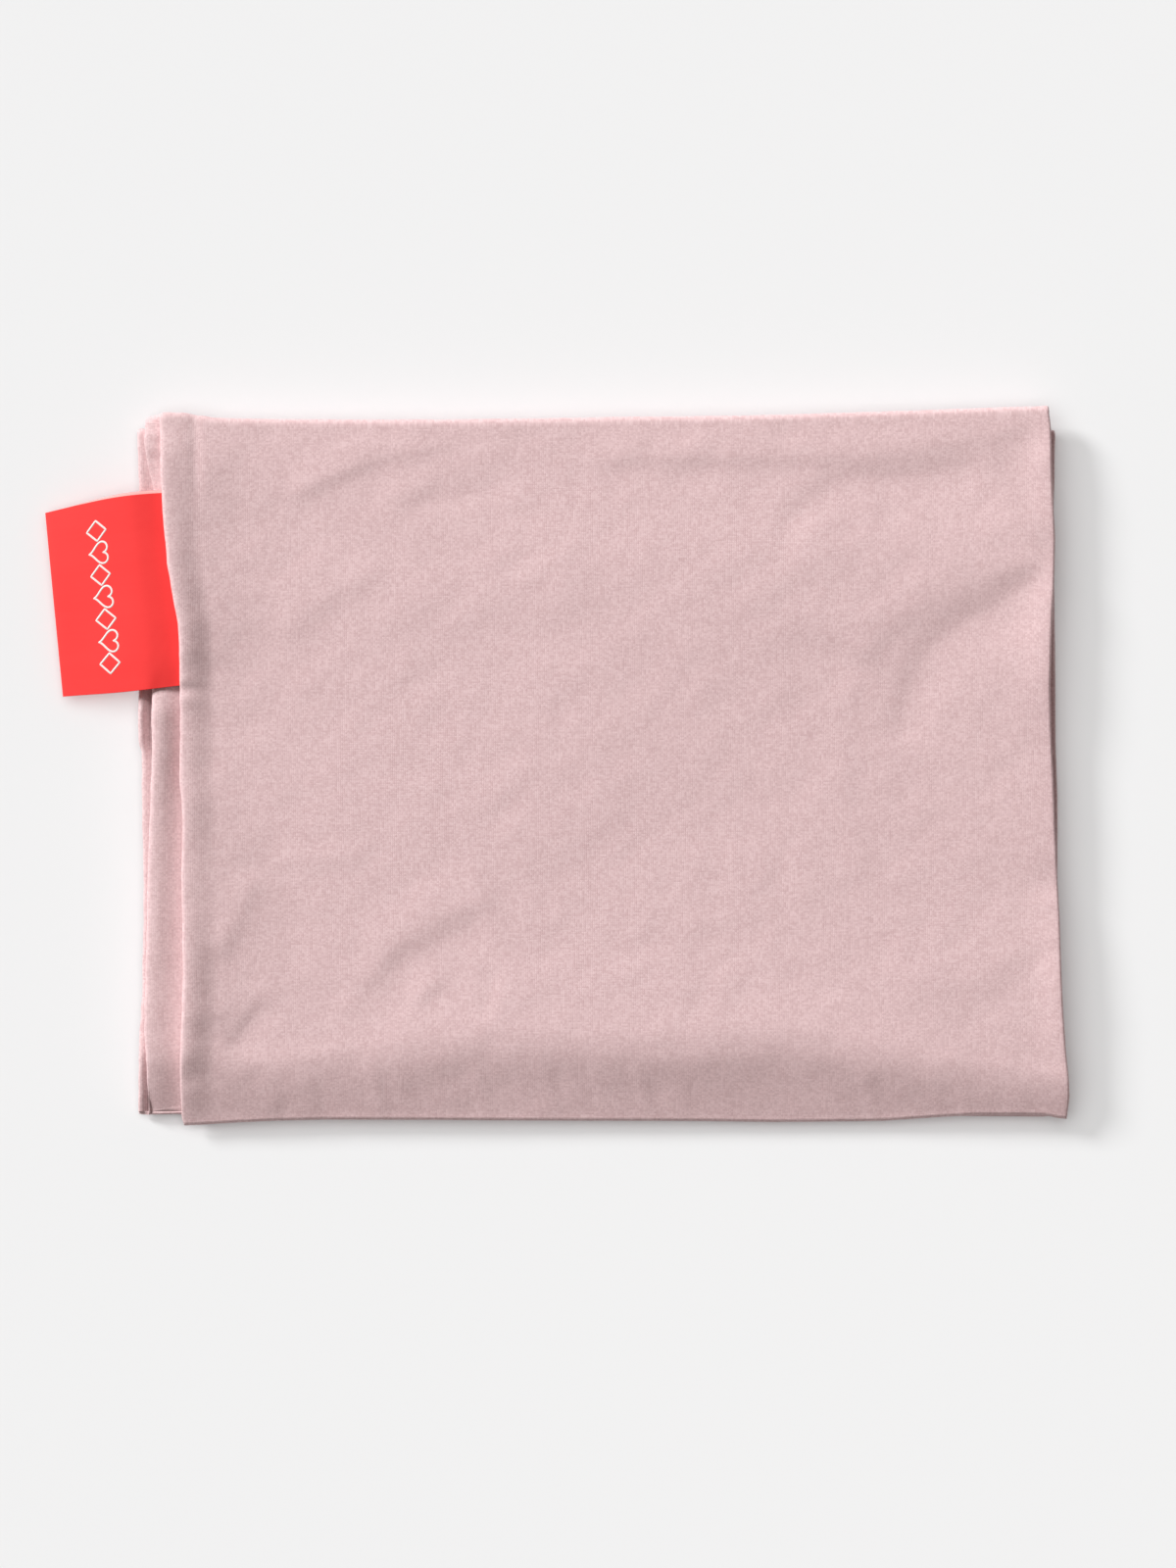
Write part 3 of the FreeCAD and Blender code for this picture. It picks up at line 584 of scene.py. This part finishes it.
def crease_rows(leaf, columns, edge_x, edge_y, share, lift, run):
    """Rows from a leaf's last row round to the leaf below: over, under and UV."""
    steps = 15
    squareness = 0.72              # below 1 the turn is boxier than a circle
    pinch = 0.1                    # radius of the inner turn about the joint's line
    side = LEAF[leaf]["crease"]
    below = LEAVES[LEAVES.index(leaf) - 1]
    near, far = OUTLINE[leaf][:2]
    line = far if side > 0 else near
    below_left, below_right = OUTLINE[below][2:]
    guess_y = line(edge_x)
    below_x = across(columns, below_left(guess_y[:1]), below_right(guess_y[-1:]))[0][0]
    below_y = line(below_x)
    high, high_half = middle_and_half(leaf, edge_x, edge_y)
    low, low_half = middle_and_half(below, below_x, below_y)
    radius, centre = (high - low) / 2, (high + low) / 2
    over, under, uv = [], [], []
    for i in range(1, steps + 1):
        t = i / steps
        angle = math.pi * t
        x = edge_x + (below_x - edge_x) * float(smooth(0.50, 0.84, t))
        half = high_half + (low_half - high_half) * t
        out_y = side * math.sin(angle) ** squareness if t < 1 else 0.0
        out_z = math.copysign(abs(math.cos(angle)) ** squareness, math.cos(angle))
        y = edge_y + (below_y - edge_y) * t + radius * out_y
        z = centre + radius * out_z
        reach = half * share + lift * share * math.cos(angle / 2) ** 2
        over.append(np.stack([x, y + reach * out_y, z + reach * out_z], -1))
        if side > 0:
            # the two leaves lie face to face right up to the line they turn about
            joint = "unfold_" + leaf
            axis = np.array(JOINTS[joint]["axis"], float)
            pivot_x, pivot_y, pivot_z = PIVOT[joint]
            turn_y = np.maximum(pivot_y + (x - pivot_x) * axis[1] / axis[0], edge_y + 0.05)
            if t <= 0.4:
                part = t / 0.4
                inner_y = edge_y + (turn_y - edge_y) * part
                inner_z = (high - high_half) + (pivot_z + pinch - high + high_half) * part
            elif t < 0.6:
                turn = math.pi * (t - 0.4) / 0.2
                inner_y = turn_y + pinch * math.sin(turn)
                inner_z = pivot_z + pinch * math.cos(turn)
            else:
                part = (t - 0.6) / 0.4
                inner_y = turn_y + (below_y - turn_y) * part
                inner_z = pivot_z - pinch + (low + low_half - pivot_z + pinch) * part
            under_y, under_z = y + (inner_y - y) * share, z + (inner_z - z) * share
        else:
            under_y, under_z = y - half * share * out_y, z - half * share * out_z
        under.append(np.stack([x, under_y, under_z], -1))
        uv.append(np.stack([x, run + side * radius * angle], -1))
    return np.array(over), np.array(under), np.array(uv)


def build_leaf(leaf):
    """One leaf with the crease that joins it to the leaf below it."""
    spec = LEAF[leaf]
    near, _, left, _ = OUTLINE[leaf]
    columns, rows = (int(count * DETAIL) for count in spec["grid"])
    x, y, share = plan_grid(columns, rows, *OUTLINE[leaf])
    middle, half = middle_and_half(leaf, x, y)
    inset = x - left(y)
    if leaf == "top":
        lift, under_lift = np.maximum(wrinkle(x, y), -1.25 * half), 0.0
    else:
        lift, under_lift = rim_lift(leaf, x, y, inset, share)
    over = np.stack([x, y, middle + half * share + lift * share], -1)
    under = np.stack([x, y, middle - half * share + under_lift], -1)
    run = y - y[:1]
    # seam pucker: the left edge wanders a little in plan
    wander = 0.10 * value_noise(y, 5.0, scale=3.3, seed=spec["pucker_seed"])
    wander = wander + 0.06 * value_noise(y, 9.0, scale=1.7, seed=62)
    for sheet in (over, under):
        sheet[..., 0] += wander * bell(inset, 2.0)
    if spec["open_near"]:
        # a rounded end with a slight bead behind it
        from_end = y - near(x)
        closing = np.sqrt(np.clip(1 - (1 - np.clip(from_end / 0.55, 0, 1)) ** 2, 0, 1))
        over[..., 2] += 0.10 * bell(from_end - 0.5, 0.75)
        mean = (over[..., 2] + under[..., 2]) / 2
        for sheet in (over, under):
            sheet[..., 2] = mean + (sheet[..., 2] - mean) * closing
    sheets = [over, under, np.stack([x, run], -1)]
    side = spec["crease"]
    if side:
        edge = -1 if side > 0 else 0
        turned = crease_rows(leaf, columns, x[edge], y[edge], share[edge], lift[edge], run[edge])
        sheets = [
            np.concatenate([sheet, more] if side > 0 else [more[::-1], sheet])
            for sheet, more in zip(sheets, turned)
        ]
    return band(leaf + "_leaf_cloth", *sheets)


cloth = {leaf: build_leaf(leaf) for leaf in reversed(LEAVES)}


# ------------------------------------------------------------------ materials
class Shader:
    """A Principled material, and short calls that add nodes to it."""

    def __init__(self, name):
        self.material = bpy.data.materials.new(name)
        self.material.use_nodes = True
        self.tree = self.material.node_tree
        self.tree.nodes.clear()
        output = self.node("OutputMaterial")
        self.surface = self.node("BsdfPrincipled")
        self.feed(output.inputs[0], self.surface.outputs[0])

    def node(self, kind):
        return self.tree.nodes.new("ShaderNode" + kind)

    def feed(self, socket, value):
        """Sets a socket to a value, or links it to another node's output."""
        if isinstance(value, (int, float, tuple)):
            socket.default_value = value
        else:
            self.tree.links.new(value, socket)

    def principled(self, settings):
        for name, value in settings.items():
            self.feed(self.surface.inputs[name], value)

    def uv(self):
        """The UV map, and its u and v."""
        source = self.node("UVMap")
        source.uv_map = "UVMap"
        split = self.node("SeparateXYZ")
        self.feed(split.inputs[0], source.outputs[0])
        return source.outputs[0], split.outputs[0], split.outputs[1]

    def math(self, operation, *values):
        made = self.node("Math")
        made.operation = operation
        for socket, value in zip(made.inputs, values):
            self.feed(socket, value)
        return made.outputs[0]

    def cosine(self, value, period=1.0):
        return self.math("COSINE", self.math("MULTIPLY", value, 2 * math.pi / period))

    def add_weighted(self, total, signal, weight):
        return self.math("MULTIPLY_ADD", signal, weight, total)

    def add_centred(self, total, signal, weight):
        """Adds a 0..1 signal, taken about its middle."""
        centred = self.math("SUBTRACT", signal, 0.5)
        return self.math("ADD", total, self.math("MULTIPLY", centred, weight))

    def noise(self, vector, scale, detail=2.0, rough=0.5, stretch=None):
        if stretch is not None:
            mapping = self.node("Mapping")
            mapping.inputs["Scale"].default_value = stretch
            self.feed(mapping.inputs["Vector"], vector)
            vector = mapping.outputs[0]
        made = self.node("TexNoise")
        made.inputs["Scale"].default_value = scale
        made.inputs["Detail"].default_value = detail
        made.inputs["Roughness"].default_value = rough
        self.feed(made.inputs["Vector"], vector)
        return made.outputs["Fac"]

    def clamp(self, value):
        made = self.node("Clamp")
        self.feed(made.inputs[0], value)
        return made.outputs[0]

    def mix(self, factor, first, second):
        made = self.node("Mix")
        made.data_type = "RGBA"
        made.blend_type = "MIX"
        for slot, value in ((0, factor), (6, first), (7, second)):
            self.feed(made.inputs[slot], value)
        return made.outputs[2]

    def bump(self, height, strength, distance):
        made = self.node("Bump")
        made.inputs["Strength"].default_value = strength
        made.inputs["Distance"].default_value = distance
        self.feed(made.inputs["Height"], height)
        self.feed(self.surface.inputs["Normal"], made.outputs[0])


def jersey(name, light, dark, patch_tint):
    """Fine single jersey: columns of V stitches (wales), yarn that is thick and
    thin along the courses, and a soft matt nap."""
    wale_pitch, course_pitch = 0.585, 0.46     # mm
    leg_slant = 1.15                           # courses a leg rises per wale
    drift_x, drift_y = 1.6, 1.1                # mm
    shader = Shader(name)
    uv, u, v = shader.uv()
    # the knit wanders slightly from true
    drift = shader.noise(uv, scale=3.0, detail=1.0)
    x_mm = shader.math("MULTIPLY_ADD", u, UV_MM, shader.math("MULTIPLY", drift, drift_x))
    y_mm = shader.math("MULTIPLY_ADD", v, UV_MM, shader.math("MULTIPLY", drift, drift_y))
    wale = shader.math("DIVIDE", x_mm, wale_pitch)
    course = shader.math("DIVIDE", y_mm, course_pitch)
    from_middle = shader.math("SUBTRACT", shader.math("FRACT", wale), 0.5)
    leg = shader.math("ABSOLUTE", from_middle)   # 0 in the wale's middle, 0.5 in the gap
    ridge = shader.cosine(from_middle)

    def slanted_course():
        return shader.math("ADD", course, shader.math("MULTIPLY", leg, leg_slant))

    vee = shader.math("FRACT", slanted_course())
    loop = shader.cosine(shader.math("SUBTRACT", vee, 0.5))
    # yarn and runs: _v along the wales, _h along the courses
    yarn_v = shader.noise(uv, scale=100.0, rough=0.6, stretch=(1.0, 0.045, 1.0))
    yarn_h = shader.noise(uv, scale=100.0, rough=0.6, stretch=(0.05, 0.55, 1.0))
    grain = shader.noise(uv, scale=330.0, rough=0.7)
    run_h = shader.noise(uv, scale=100.0, detail=1.0, stretch=(0.32, 2.3, 1.0))
    run_v = shader.noise(uv, scale=100.0, detail=1.0, stretch=(2.1, 0.28, 1.0))
    mottle = shader.noise(uv, scale=26.0, detail=3.0, rough=0.6)
    # no two loops take the dye or the light quite alike
    cell = shader.node("CombineXYZ")
    shader.feed(cell.inputs[0], shader.math("FLOOR", wale))
    shader.feed(cell.inputs[1], shader.math("FLOOR", slanted_course()))
    random = shader.node("TexWhiteNoise")
    random.noise_dimensions = "2D"
    shader.feed(random.inputs["Vector"], cell.outputs[0])
    loop_tone = random.outputs["Value"]
    # relief, with each part's weight
    height = shader.add_weighted(shader.math("MULTIPLY", loop, 0.22), ridge, 0.20)
    for signal, weight in (
        (grain, 0.75), (run_h, 0.6), (run_v, 0.35), (yarn_h, 0.25), (yarn_v, 0.35),
    ):
        height = shader.add_weighted(height, signal, weight)
    # depth of colour about a middle tone: painted shade between the wales, painted highlight on
    # the crowns of the wales and loops
    depth = shader.add_weighted(0.5, ridge, -0.05)
    depth = shader.add_centred(depth, loop_tone, 0.80)
    depth = shader.add_weighted(depth, loop, -0.04)
    for signal, weight in (
        (yarn_v, 0.30), (yarn_h, 0.22), (grain, 0.5), (run_h, 0.62), (run_v, 0.40),
        (mottle, 0.35),
    ):
        depth = shader.add_centred(depth, signal, weight)
    colour = shader.mix(shader.clamp(depth), light, dark)
    # faint patches of another tone
    patch = shader.noise(uv, scale=5.0)
    colour = shader.mix(shader.math("MULTIPLY", patch, 0.05), colour, patch_tint)
    # the plain roughness stays on the socket, under the link that varies it
    shader.principled({
        "Base Color": colour,
        "Roughness": 0.92,
        "Specular IOR Level": 0.18,
        "Sheen Weight": 0.12,
        "Sheen Roughness": 0.55,
        "Sheen Tint": (1.0, 0.90, 0.89, 1.0),
    })
    shader.principled({"Roughness": shader.add_weighted(0.84, grain, 0.12)})
    shader.bump(height, strength=0.75, distance=0.00006)
    return shader.material


def satin(name, base, dark, pick_pitch=0.28, reverse=None, gloss=0.25, rough=0.42):
    """A close satin: fine picks across it, a slight twill, a soft gloss."""
    twill_slope, twill_pitch = 0.6, 0.42
    shader = Shader(name)
    uv, u, v = shader.uv()
    x_mm = shader.math("MULTIPLY", u, UV_MM)
    y_mm = shader.math("MULTIPLY", v, UV_MM)
    picks = shader.cosine(x_mm, period=pick_pitch)
    slanted = shader.math("ADD", shader.math("MULTIPLY", x_mm, twill_slope), y_mm)
    twill = shader.cosine(slanted, period=twill_pitch)
    grain = shader.noise(uv, scale=260.0, detail=3.0, rough=0.7)
    slub = shader.noise(uv, scale=60.0, rough=0.6, stretch=(0.12, 1.0, 1.0))
    cloud = shader.noise(uv, scale=7.0)
    # depth of colour, with each part's weight
    depth = shader.add_weighted(0.3, picks, 0.06)
    depth = shader.add_weighted(depth, twill, 0.05)
    for signal, weight in ((grain, 0.5), (slub, 0.4), (cloud, 0.5)):
        depth = shader.add_centred(depth, signal, weight)
    shade = shader.mix(shader.clamp(depth), base, dark)
    if reverse:
        # the inner sheet of the ribbon, shifted in u, is paler
        shade = shader.mix(shader.math("GREATER_THAN", u, 2.5), shade, reverse)
    shader.principled({
        "Base Color": shade,
        "Roughness": shader.add_weighted(rough, grain, 0.2),
        "Specular IOR Level": gloss,
        "Sheen Weight": 0.10,
    })
    height = shader.add_weighted(shader.math("MULTIPLY", twill, 0.35), picks, 0.5)
    height = shader.add_weighted(height, grain, 0.8)
    shader.bump(height, strength=0.6, distance=0.00003)
    return shader.material


JERSEY = jersey(
    "dusty_pink_jersey",
    light=(0.795, 0.588, 0.596, 1.0),
    dark=(0.640, 0.438, 0.446, 1.0),
    patch_tint=(0.74, 0.57, 0.55, 1.0),
)
RIBBON = satin(
    "red_satin_ribbon",
    base=(0.94, 0.044, 0.041, 1.0),
    dark=(0.90, 0.028, 0.028, 1.0),
    reverse=(0.93, 0.50, 0.47, 1.0),
    gloss=0.30,
    rough=0.50,
)
MOTIF_THREAD = satin(
    "white_motif_thread",
    base=(0.93, 0.90, 0.87, 1.0),
    dark=(0.80, 0.62, 0.58, 1.0),
    pick_pitch=0.45,
)
for piece in cloth.values():
    piece.data.materials.append(JERSEY)

# ---------------------------------------------------------------------- label
# The label's corners in plan: two on the seam, two at its free, left end
SEAM_FAR, SEAM_NEAR = (-106.3, 73.7), (-101.6, 22.1)
FREE_NEAR, FREE_FAR = (-133.5, 18.7), (-138.3, 68.4)
LABEL_REACH = 36.0             # from the seam to the free end
RIBBON_HALF = 0.14             # half the ribbon's thickness


def label_point(along, width, off):
    """A point of the folded ribbon: along 0 in the seam to 1 at the free end,
    width 0 near to 1 far, off above (+) or below (-) its middle."""
    along, width, off = np.broadcast_arrays(
        *(np.asarray(value, float) for value in (along, width, off)))
    y = SEAM_NEAR[1] + (SEAM_FAR[1] - SEAM_NEAR[1]) * width
    seam_x = top_left(y) + 4.0
    x = seam_x + ((FREE_NEAR[0] + (FREE_FAR[0] - FREE_NEAR[0]) * width) - seam_x) * along
    # the far and near edges are bowed between their corners
    arch = np.sin(math.pi * np.clip(along, 0, 1))
    far_y = SEAM_FAR[1] + (FREE_FAR[1] - SEAM_FAR[1]) * along
    far_y = far_y + 1.2 * arch * smooth(0, 1, 1 - along * 0.4)
    near_y = SEAM_NEAR[1] + (FREE_NEAR[1] - SEAM_NEAR[1]) * along - 0.4 * arch ** 1.5
    # out of the seam, over the rims of the leaves below, then down to the floor
    reach = LABEL_REACH * along
    root = middle_and_half("top", top_left(y) + 1.0, y)[0]
    rest = (CEILING["upper"] + 0.62) * press(seam_x - 8.0, y) + 1.15
    z = root + (rest - root) * smooth(1.0, 9.5, reach)
    past_rim = np.clip(reach - 10.5, 0, None)
    z = z - 0.265 * (np.sqrt(past_rim ** 2 + 16.0) - 4.0)
    # two slow waves, and a dip of the near edge beside the seam
    z = z + 0.22 * np.sin(width * 2.3 + 0.4) * smooth(0.3, 0.95, along)
    z = z + 0.10 * np.sin(width * 6.0 + along * 3.0) * smooth(0.15, 0.6, along)
    z = z - 0.40 * bell(width, 0.06) * (1 - smooth(9.0, 13.0, reach))
    return np.stack([x, near_y + (far_y - near_y) * width, z + off], -1)


def label_gap(along):
    """How far the front and the back of the ribbon lie from the middle between them."""
    return 0.30 + 0.22 * math.sin(math.pi * min(1, along)) ** 2


def build_label():
    """The ribbon goes out along its front, round the fold and back underneath."""
    steps, middle_columns = 44, 48
    length, closing_at, closing_run = 0.985, 0.93, 0.072
    front = []                     # (along, off) of the ribbon's own middle
    for i in range(steps):
        along = i / (steps - 1) * length
        closing = 1.0
        if along >= closing_at:
            part = (along - closing_at) / closing_run
            closing = math.sqrt(max(0.0, 1 - part ** 2)) * 0.9 + 0.1
        front.append((along, label_gap(along) * closing))
    end_fold = [(0.998, 0.14), (1.0, 0.0), (0.998, -0.14)]
    path = front + end_fold + [(along, -off) for along, off in reversed(front)]
    width = np.concatenate([
        [0, 0.0022, 0.006, 0.014],
        np.linspace(0.03, 0.97, middle_columns),
        [0.986, 0.994, 0.9978, 1.0],
    ])
    along, off = (values[:, None] for values in np.array(path).T)
    middle = label_point(along, width[None, :], off)
    # the back face lies a little farther than the front one, so both edges show
    backness = np.clip(-off / 0.3, 0, 1) * smooth(0.95, 0.3, along)
    middle = middle + backness[..., None] * np.array([0.0, 0.85, 0.0])
    normal = np.cross(np.gradient(middle, axis=0), np.gradient(middle, axis=1))
    normal /= np.linalg.norm(normal, axis=-1, keepdims=True) + 1e-9
    centre = len(width) // 2
    if normal[3, centre, 2] < 0:
        normal = -normal
    steps_along = np.linalg.norm(np.diff(middle[:, centre], axis=0), axis=1)
    run = np.concatenate([[0], np.cumsum(steps_along)])
    uv = np.stack(np.broadcast_arrays(run[:, None], width * 51.0), -1)
    outer, inner = middle + normal * RIBBON_HALF, middle - normal * RIBBON_HALF
    return band("label_ribbon", outer, inner, uv)


label = build_label()
label.data.materials.append(RIBBON)

MOTIF_SIZE = 5.3


def diamond():
    corners = [(1, 0), (0, 1), (-1, 0), (0, -1)]
    per_side = 8
    points = []
    for a, b in zip(corners, corners[1:] + corners[:1]):
        points += [
            (a[0] + (b[0] - a[0]) * i / per_side, a[1] + (b[1] - a[1]) * i / per_side)
            for i in range(per_side)
        ]
    return np.array(points) * MOTIF_SIZE / 2


def heart():
    angle = np.linspace(0, 2 * math.pi, 49)[:-1]
    breadth = 16 * np.sin(angle) ** 3
    height = 13 * np.cos(angle) - 5 * np.cos(2 * angle) - 2 * np.cos(3 * angle)
    height = height - np.cos(4 * angle)
    return np.stack([height + 2.5, breadth], -1) * MOTIF_SIZE * 1.06 / 32


def build_motif():
    """Outlined hearts and diamonds in a row, embroidered flat on the label's front."""
    centre_along, centre_width = 0.625, 0.50
    row_length, step, line_width = 50.0, 5.75, 0.56
    # the line in cross-section: (place across it, height)
    section = [(-0.5, -0.03), (-0.36, 0.06), (0.0, 0.10), (0.36, 0.06), (0.5, -0.03)]
    count = len(section)
    points, faces, uvs = [], [], []
    for i in range(-3, 4):
        outline = diamond() if i % 2 else heart()
        tangent = np.roll(outline, -1, 0) - np.roll(outline, 1, 0)
        tangent /= np.linalg.norm(tangent, axis=1, keepdims=True) + 1e-9
        normal = np.stack([tangent[:, 1], -tangent[:, 0]], -1)
        base, around = len(points), len(outline)
        for q in range(around):
            for across_line, up in section:
                to_seam, to_far = (
                    outline[q] + normal[q] * across_line * line_width + np.array([0, i * step]))
                along = centre_along - to_seam / LABEL_REACH
                off = label_gap(along) + RIBBON_HALF + up + 0.012 * (q % 2)
                points.append(label_point(along, centre_width + to_far / row_length, off))
                uvs.append((q * 0.5, across_line * line_width * 4))
        for q in range(around):
            for r in range(count - 1):
                here = base + q * count + r
                ahead = base + ((q + 1) % around) * count + r
                faces.append((here, ahead, ahead + 1, here + 1))
    made = link_mesh("label_motif_stitch", points, faces, uvs)
    made.data.validate()
    made.data.materials.append(MOTIF_THREAD)
    return made


motif = build_motif()

# ----------------------------------------------------------------------- hem
# painted shade: the thread's tones are darker than the jersey's, so the low stitches read as
# shaded
SEWING_THREAD = satin(
    "spun_thread_painted_shade",
    base=(0.640, 0.440, 0.450, 1.0),
    dark=(0.450, 0.290, 0.300, 1.0),
    pick_pitch=0.36,
)


def build_hem():
    """Two rows of stitches that hold the hem of the open end, each stitch
    diving into the cloth at both ends."""
    pitch, length, margin, row_inset = 3.1, 2.35, 1.0, 0.13
    half_width, half_height = 0.20, 0.13
    rings, sides_of_ring = 7, 6
    low, high = cad("bottom_leaf_hem_threads")
    leaf = cloth["bottom"].data
    skin = BVHTree.FromPolygons(
        [vertex.co / MM for vertex in leaf.vertices],
        [tuple(polygon.vertices) for polygon in leaf.polygons],
    )
    points, faces, uvs = [], [], []
    for row in (low[1] + row_inset, high[1] - row_inset):
        x = low[0] + margin
        while x < high[0] - margin - length:
            start = x + rng.uniform(-0.06, 0.06)
            skew = rng.uniform(-0.10, 0.10)
            base = len(points)
            for i in range(rings):
                t = i / (rings - 1)
                ring_x, ring_y = start + length * t, row + skew * (t - 0.5)
                hit = skin.ray_cast(Vector((ring_x, ring_y, 30.0)), Vector((0, 0, -1)))[0]
                # the fallback serves a stitch that misses the leaf
                surface = hit.z if hit is not None else 0.9 * CEILING["bottom"]
                full = math.sin(math.pi * (0.08 + 0.84 * t)) ** 0.5
                middle = surface - 0.02 - 0.16 * (1 - full)
                for q in range(sides_of_ring):
                    angle = 2 * math.pi * q / sides_of_ring
                    y = ring_y + half_width * full * math.cos(angle)
                    points.append((ring_x, y, middle + half_height * full * math.sin(angle)))
                    uvs.append((t * length, q * 0.2))
            for i in range(rings - 1):
                first = base + i * sides_of_ring
                for q in range(sides_of_ring):
                    here, beside = first + q, first + (q + 1) % sides_of_ring
                    faces.append((here, beside, beside + sides_of_ring, here + sides_of_ring))
            last = base + (rings - 1) * sides_of_ring
            faces.append(tuple(base + q for q in reversed(range(sides_of_ring))))
            faces.append(tuple(last + q for q in range(sides_of_ring)))
            x += pitch
    made = link_mesh("bottom_leaf_hem_stitches", points, faces, uvs)
    made.data.materials.append(SEWING_THREAD)
    return made


hem = build_hem()


def fix_normals(piece):
    """Merges coincident points and turns all faces outwards."""
    work = bmesh.new()
    work.from_mesh(piece.data)
    bmesh.ops.remove_doubles(work, verts=work.verts, dist=1e-7)
    bmesh.ops.recalc_face_normals(work, faces=work.faces)
    work.to_mesh(piece.data)
    work.free()


for piece in (*cloth.values(), label, hem):
    fix_normals(piece)

# --------------------------------------------------------------------- riding
for leaf, crease in (("top", "crease_top"), ("upper", "crease_mid"), ("lower", "crease_low")):
    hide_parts(*[n for n in NODES if n.startswith((leaf + "_leaf", crease))])
HEM_NODE = "bottom_leaf_hem_threads"
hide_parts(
    *[n for n in NODES if n.startswith("bottom_leaf") and n != HEM_NODE])
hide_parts(HEM_NODE)
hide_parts("label_back_face", "label_front_face", "label_end_fold", "label_tongue")
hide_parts("label_motif")


def near_crease_blend(piece, joint):
    """Bakes the piece's place into its points; the crease line's y and pressed height are worked
    out but not used.
    """
    y, z = PIVOT[joint][1], PIVOT[joint][2] * press(0.0, -95.0)
    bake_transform(piece)


def far_crease_blend(piece):
    """Bakes the piece's place into its points; nothing turns the crease."""
    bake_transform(piece)


far_crease_blend(cloth["top"])
near_crease_blend(cloth["upper"], "unfold_upper")
far_crease_blend(cloth["lower"])
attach(cloth["bottom"], "bottom_leaf")
# The direction in plan square to the seam, away from it; it is worked out but not used, and the
# ribbon is given no bend.
away = np.array([-(SEAM_FAR[1] - SEAM_NEAR[1]), SEAM_FAR[0] - SEAM_NEAR[0], 0.0])
away /= np.linalg.norm(away)
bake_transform(label)
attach(motif, "label")
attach(hem, "bottom_leaf")


# ---------------------------------------------------------------------- stage
def build_floor():
    half, z = 4.0, -0.0002         # metres
    corners = [(-half, -half, z), (half, -half, z), (half, half, z), (-half, half, z)]
    data = bpy.data.meshes.new("floor")
    data.from_pydata(corners, [], [(0, 1, 2, 3)])
    made = bpy.data.objects.new("floor", data)
    bpy.context.scene.collection.objects.link(made)
    shader = Shader("pale_floor")
    place = shader.node("TexCoord").outputs["Object"]
    paper = shader.mix(
        shader.noise(place, scale=3.0), (0.776, 0.784, 0.790, 1.0), (0.783, 0.791, 0.796, 1.0))
    shader.principled({"Base Color": paper, "Roughness": 0.95, "Specular IOR Level": 0.05})
    data.materials.append(shader.material)
    return made


floor = build_floor()


def lamp(name, towards, power, spread, receivers):
    """A soft distant light that shines from the direction towards."""
    data = bpy.data.lights.new(name, "SUN")
    data.energy = power
    data.angle = math.radians(spread)
    made = bpy.data.objects.new(name, data)
    made.location = Vector(towards).normalized() * 1.5
    made.rotation_mode = "QUATERNION"
    made.rotation_quaternion = (-Vector(towards)).to_track_quat("-Z", "Y")
    bpy.context.scene.collection.objects.link(made)
    made.light_linking.receiver_collection = receivers
    return made


def link_group(name, members, exclude=False):
    """A collection for light linking, of what it includes or excludes."""
    group = bpy.data.collections.new(name)
    for member in members:
        group.objects.link(member)
    if exclude:
        for item in group.collection_objects:
            item.light_linking.link_state = "EXCLUDE"
    return group


# The floor has lights of its own, so that its shadow stays pale.
only_floor = link_group("floor_only", [floor])
all_but_floor = link_group("all_but_floor", [floor], exclude=True)
lamp("key", towards=(-1.08, 1.08, 1.0), power=4.5, spread=30.0, receivers=all_but_floor)
floor_key = lamp(
    "floor_key", towards=(-1.62, 1.20, 1.0), power=2.1, spread=15.0, receivers=only_floor)
floor_key.light_linking.blocker_collection = link_group(
    "label_casts_nothing", [label, motif], exclude=True)
lamp("floor_wash", towards=(-0.22, 0.20, 1.0), power=2.05, spread=72.0, receivers=only_floor)


def build_world(ambient, strength, backdrop):
    """Ambient light, and for the camera a backdrop as pale as the floor."""
    world = bpy.data.worlds.new("studio")
    bpy.context.scene.world = world
    world.use_nodes = True
    tree = world.node_tree
    light = tree.nodes["Background"]
    light.inputs[0].default_value = ambient
    light.inputs[1].default_value = strength
    seen = tree.nodes.new("ShaderNodeBackground")
    seen.inputs[0].default_value = backdrop
    path = tree.nodes.new("ShaderNodeLightPath")
    either = tree.nodes.new("ShaderNodeMixShader")
    tree.links.new(path.outputs["Is Camera Ray"], either.inputs[0])
    tree.links.new(light.outputs[0], either.inputs[1])
    tree.links.new(seen.outputs[0], either.inputs[2])
    tree.links.new(either.outputs[0], tree.nodes["World Output"].inputs[0])


build_world(
    ambient=(1.0, 0.93, 0.89, 1.0), strength=0.215, backdrop=(0.884, 0.883, 0.881, 1.0))

scene = bpy.context.scene
scene.view_settings.view_transform = "Standard"
scene.view_settings.look = "None"
scene.view_settings.exposure = 0.0
scene.view_settings.gamma = 1.0

# The camera looks straight down on the stack.
VIEW_HEIGHT = 423.36           # mm covered from top to bottom of the view
CAMERA_X, CAMERA_Y = 8.3349, -4.8951
CAMERA_DISTANCE = 1.6          # metres, above the plane at FOCUS_Z
FOCUS_Z = 0.006
SENSOR = 36.0
camera_data = bpy.data.cameras.new("camera")
camera = bpy.data.objects.new("camera", camera_data)
scene.collection.objects.link(camera)
camera_data.sensor_fit = "VERTICAL"
camera_data.sensor_height = SENSOR
camera_data.sensor_width = SENSOR
camera_data.lens = SENSOR * CAMERA_DISTANCE / (VIEW_HEIGHT * MM)
camera.location = (CAMERA_X * MM, CAMERA_Y * MM, CAMERA_DISTANCE + FOCUS_Z)
camera.rotation_euler = (0, 0, 0)
camera_data.clip_start, camera_data.clip_end = 0.01, 20.0
scene.camera = camera
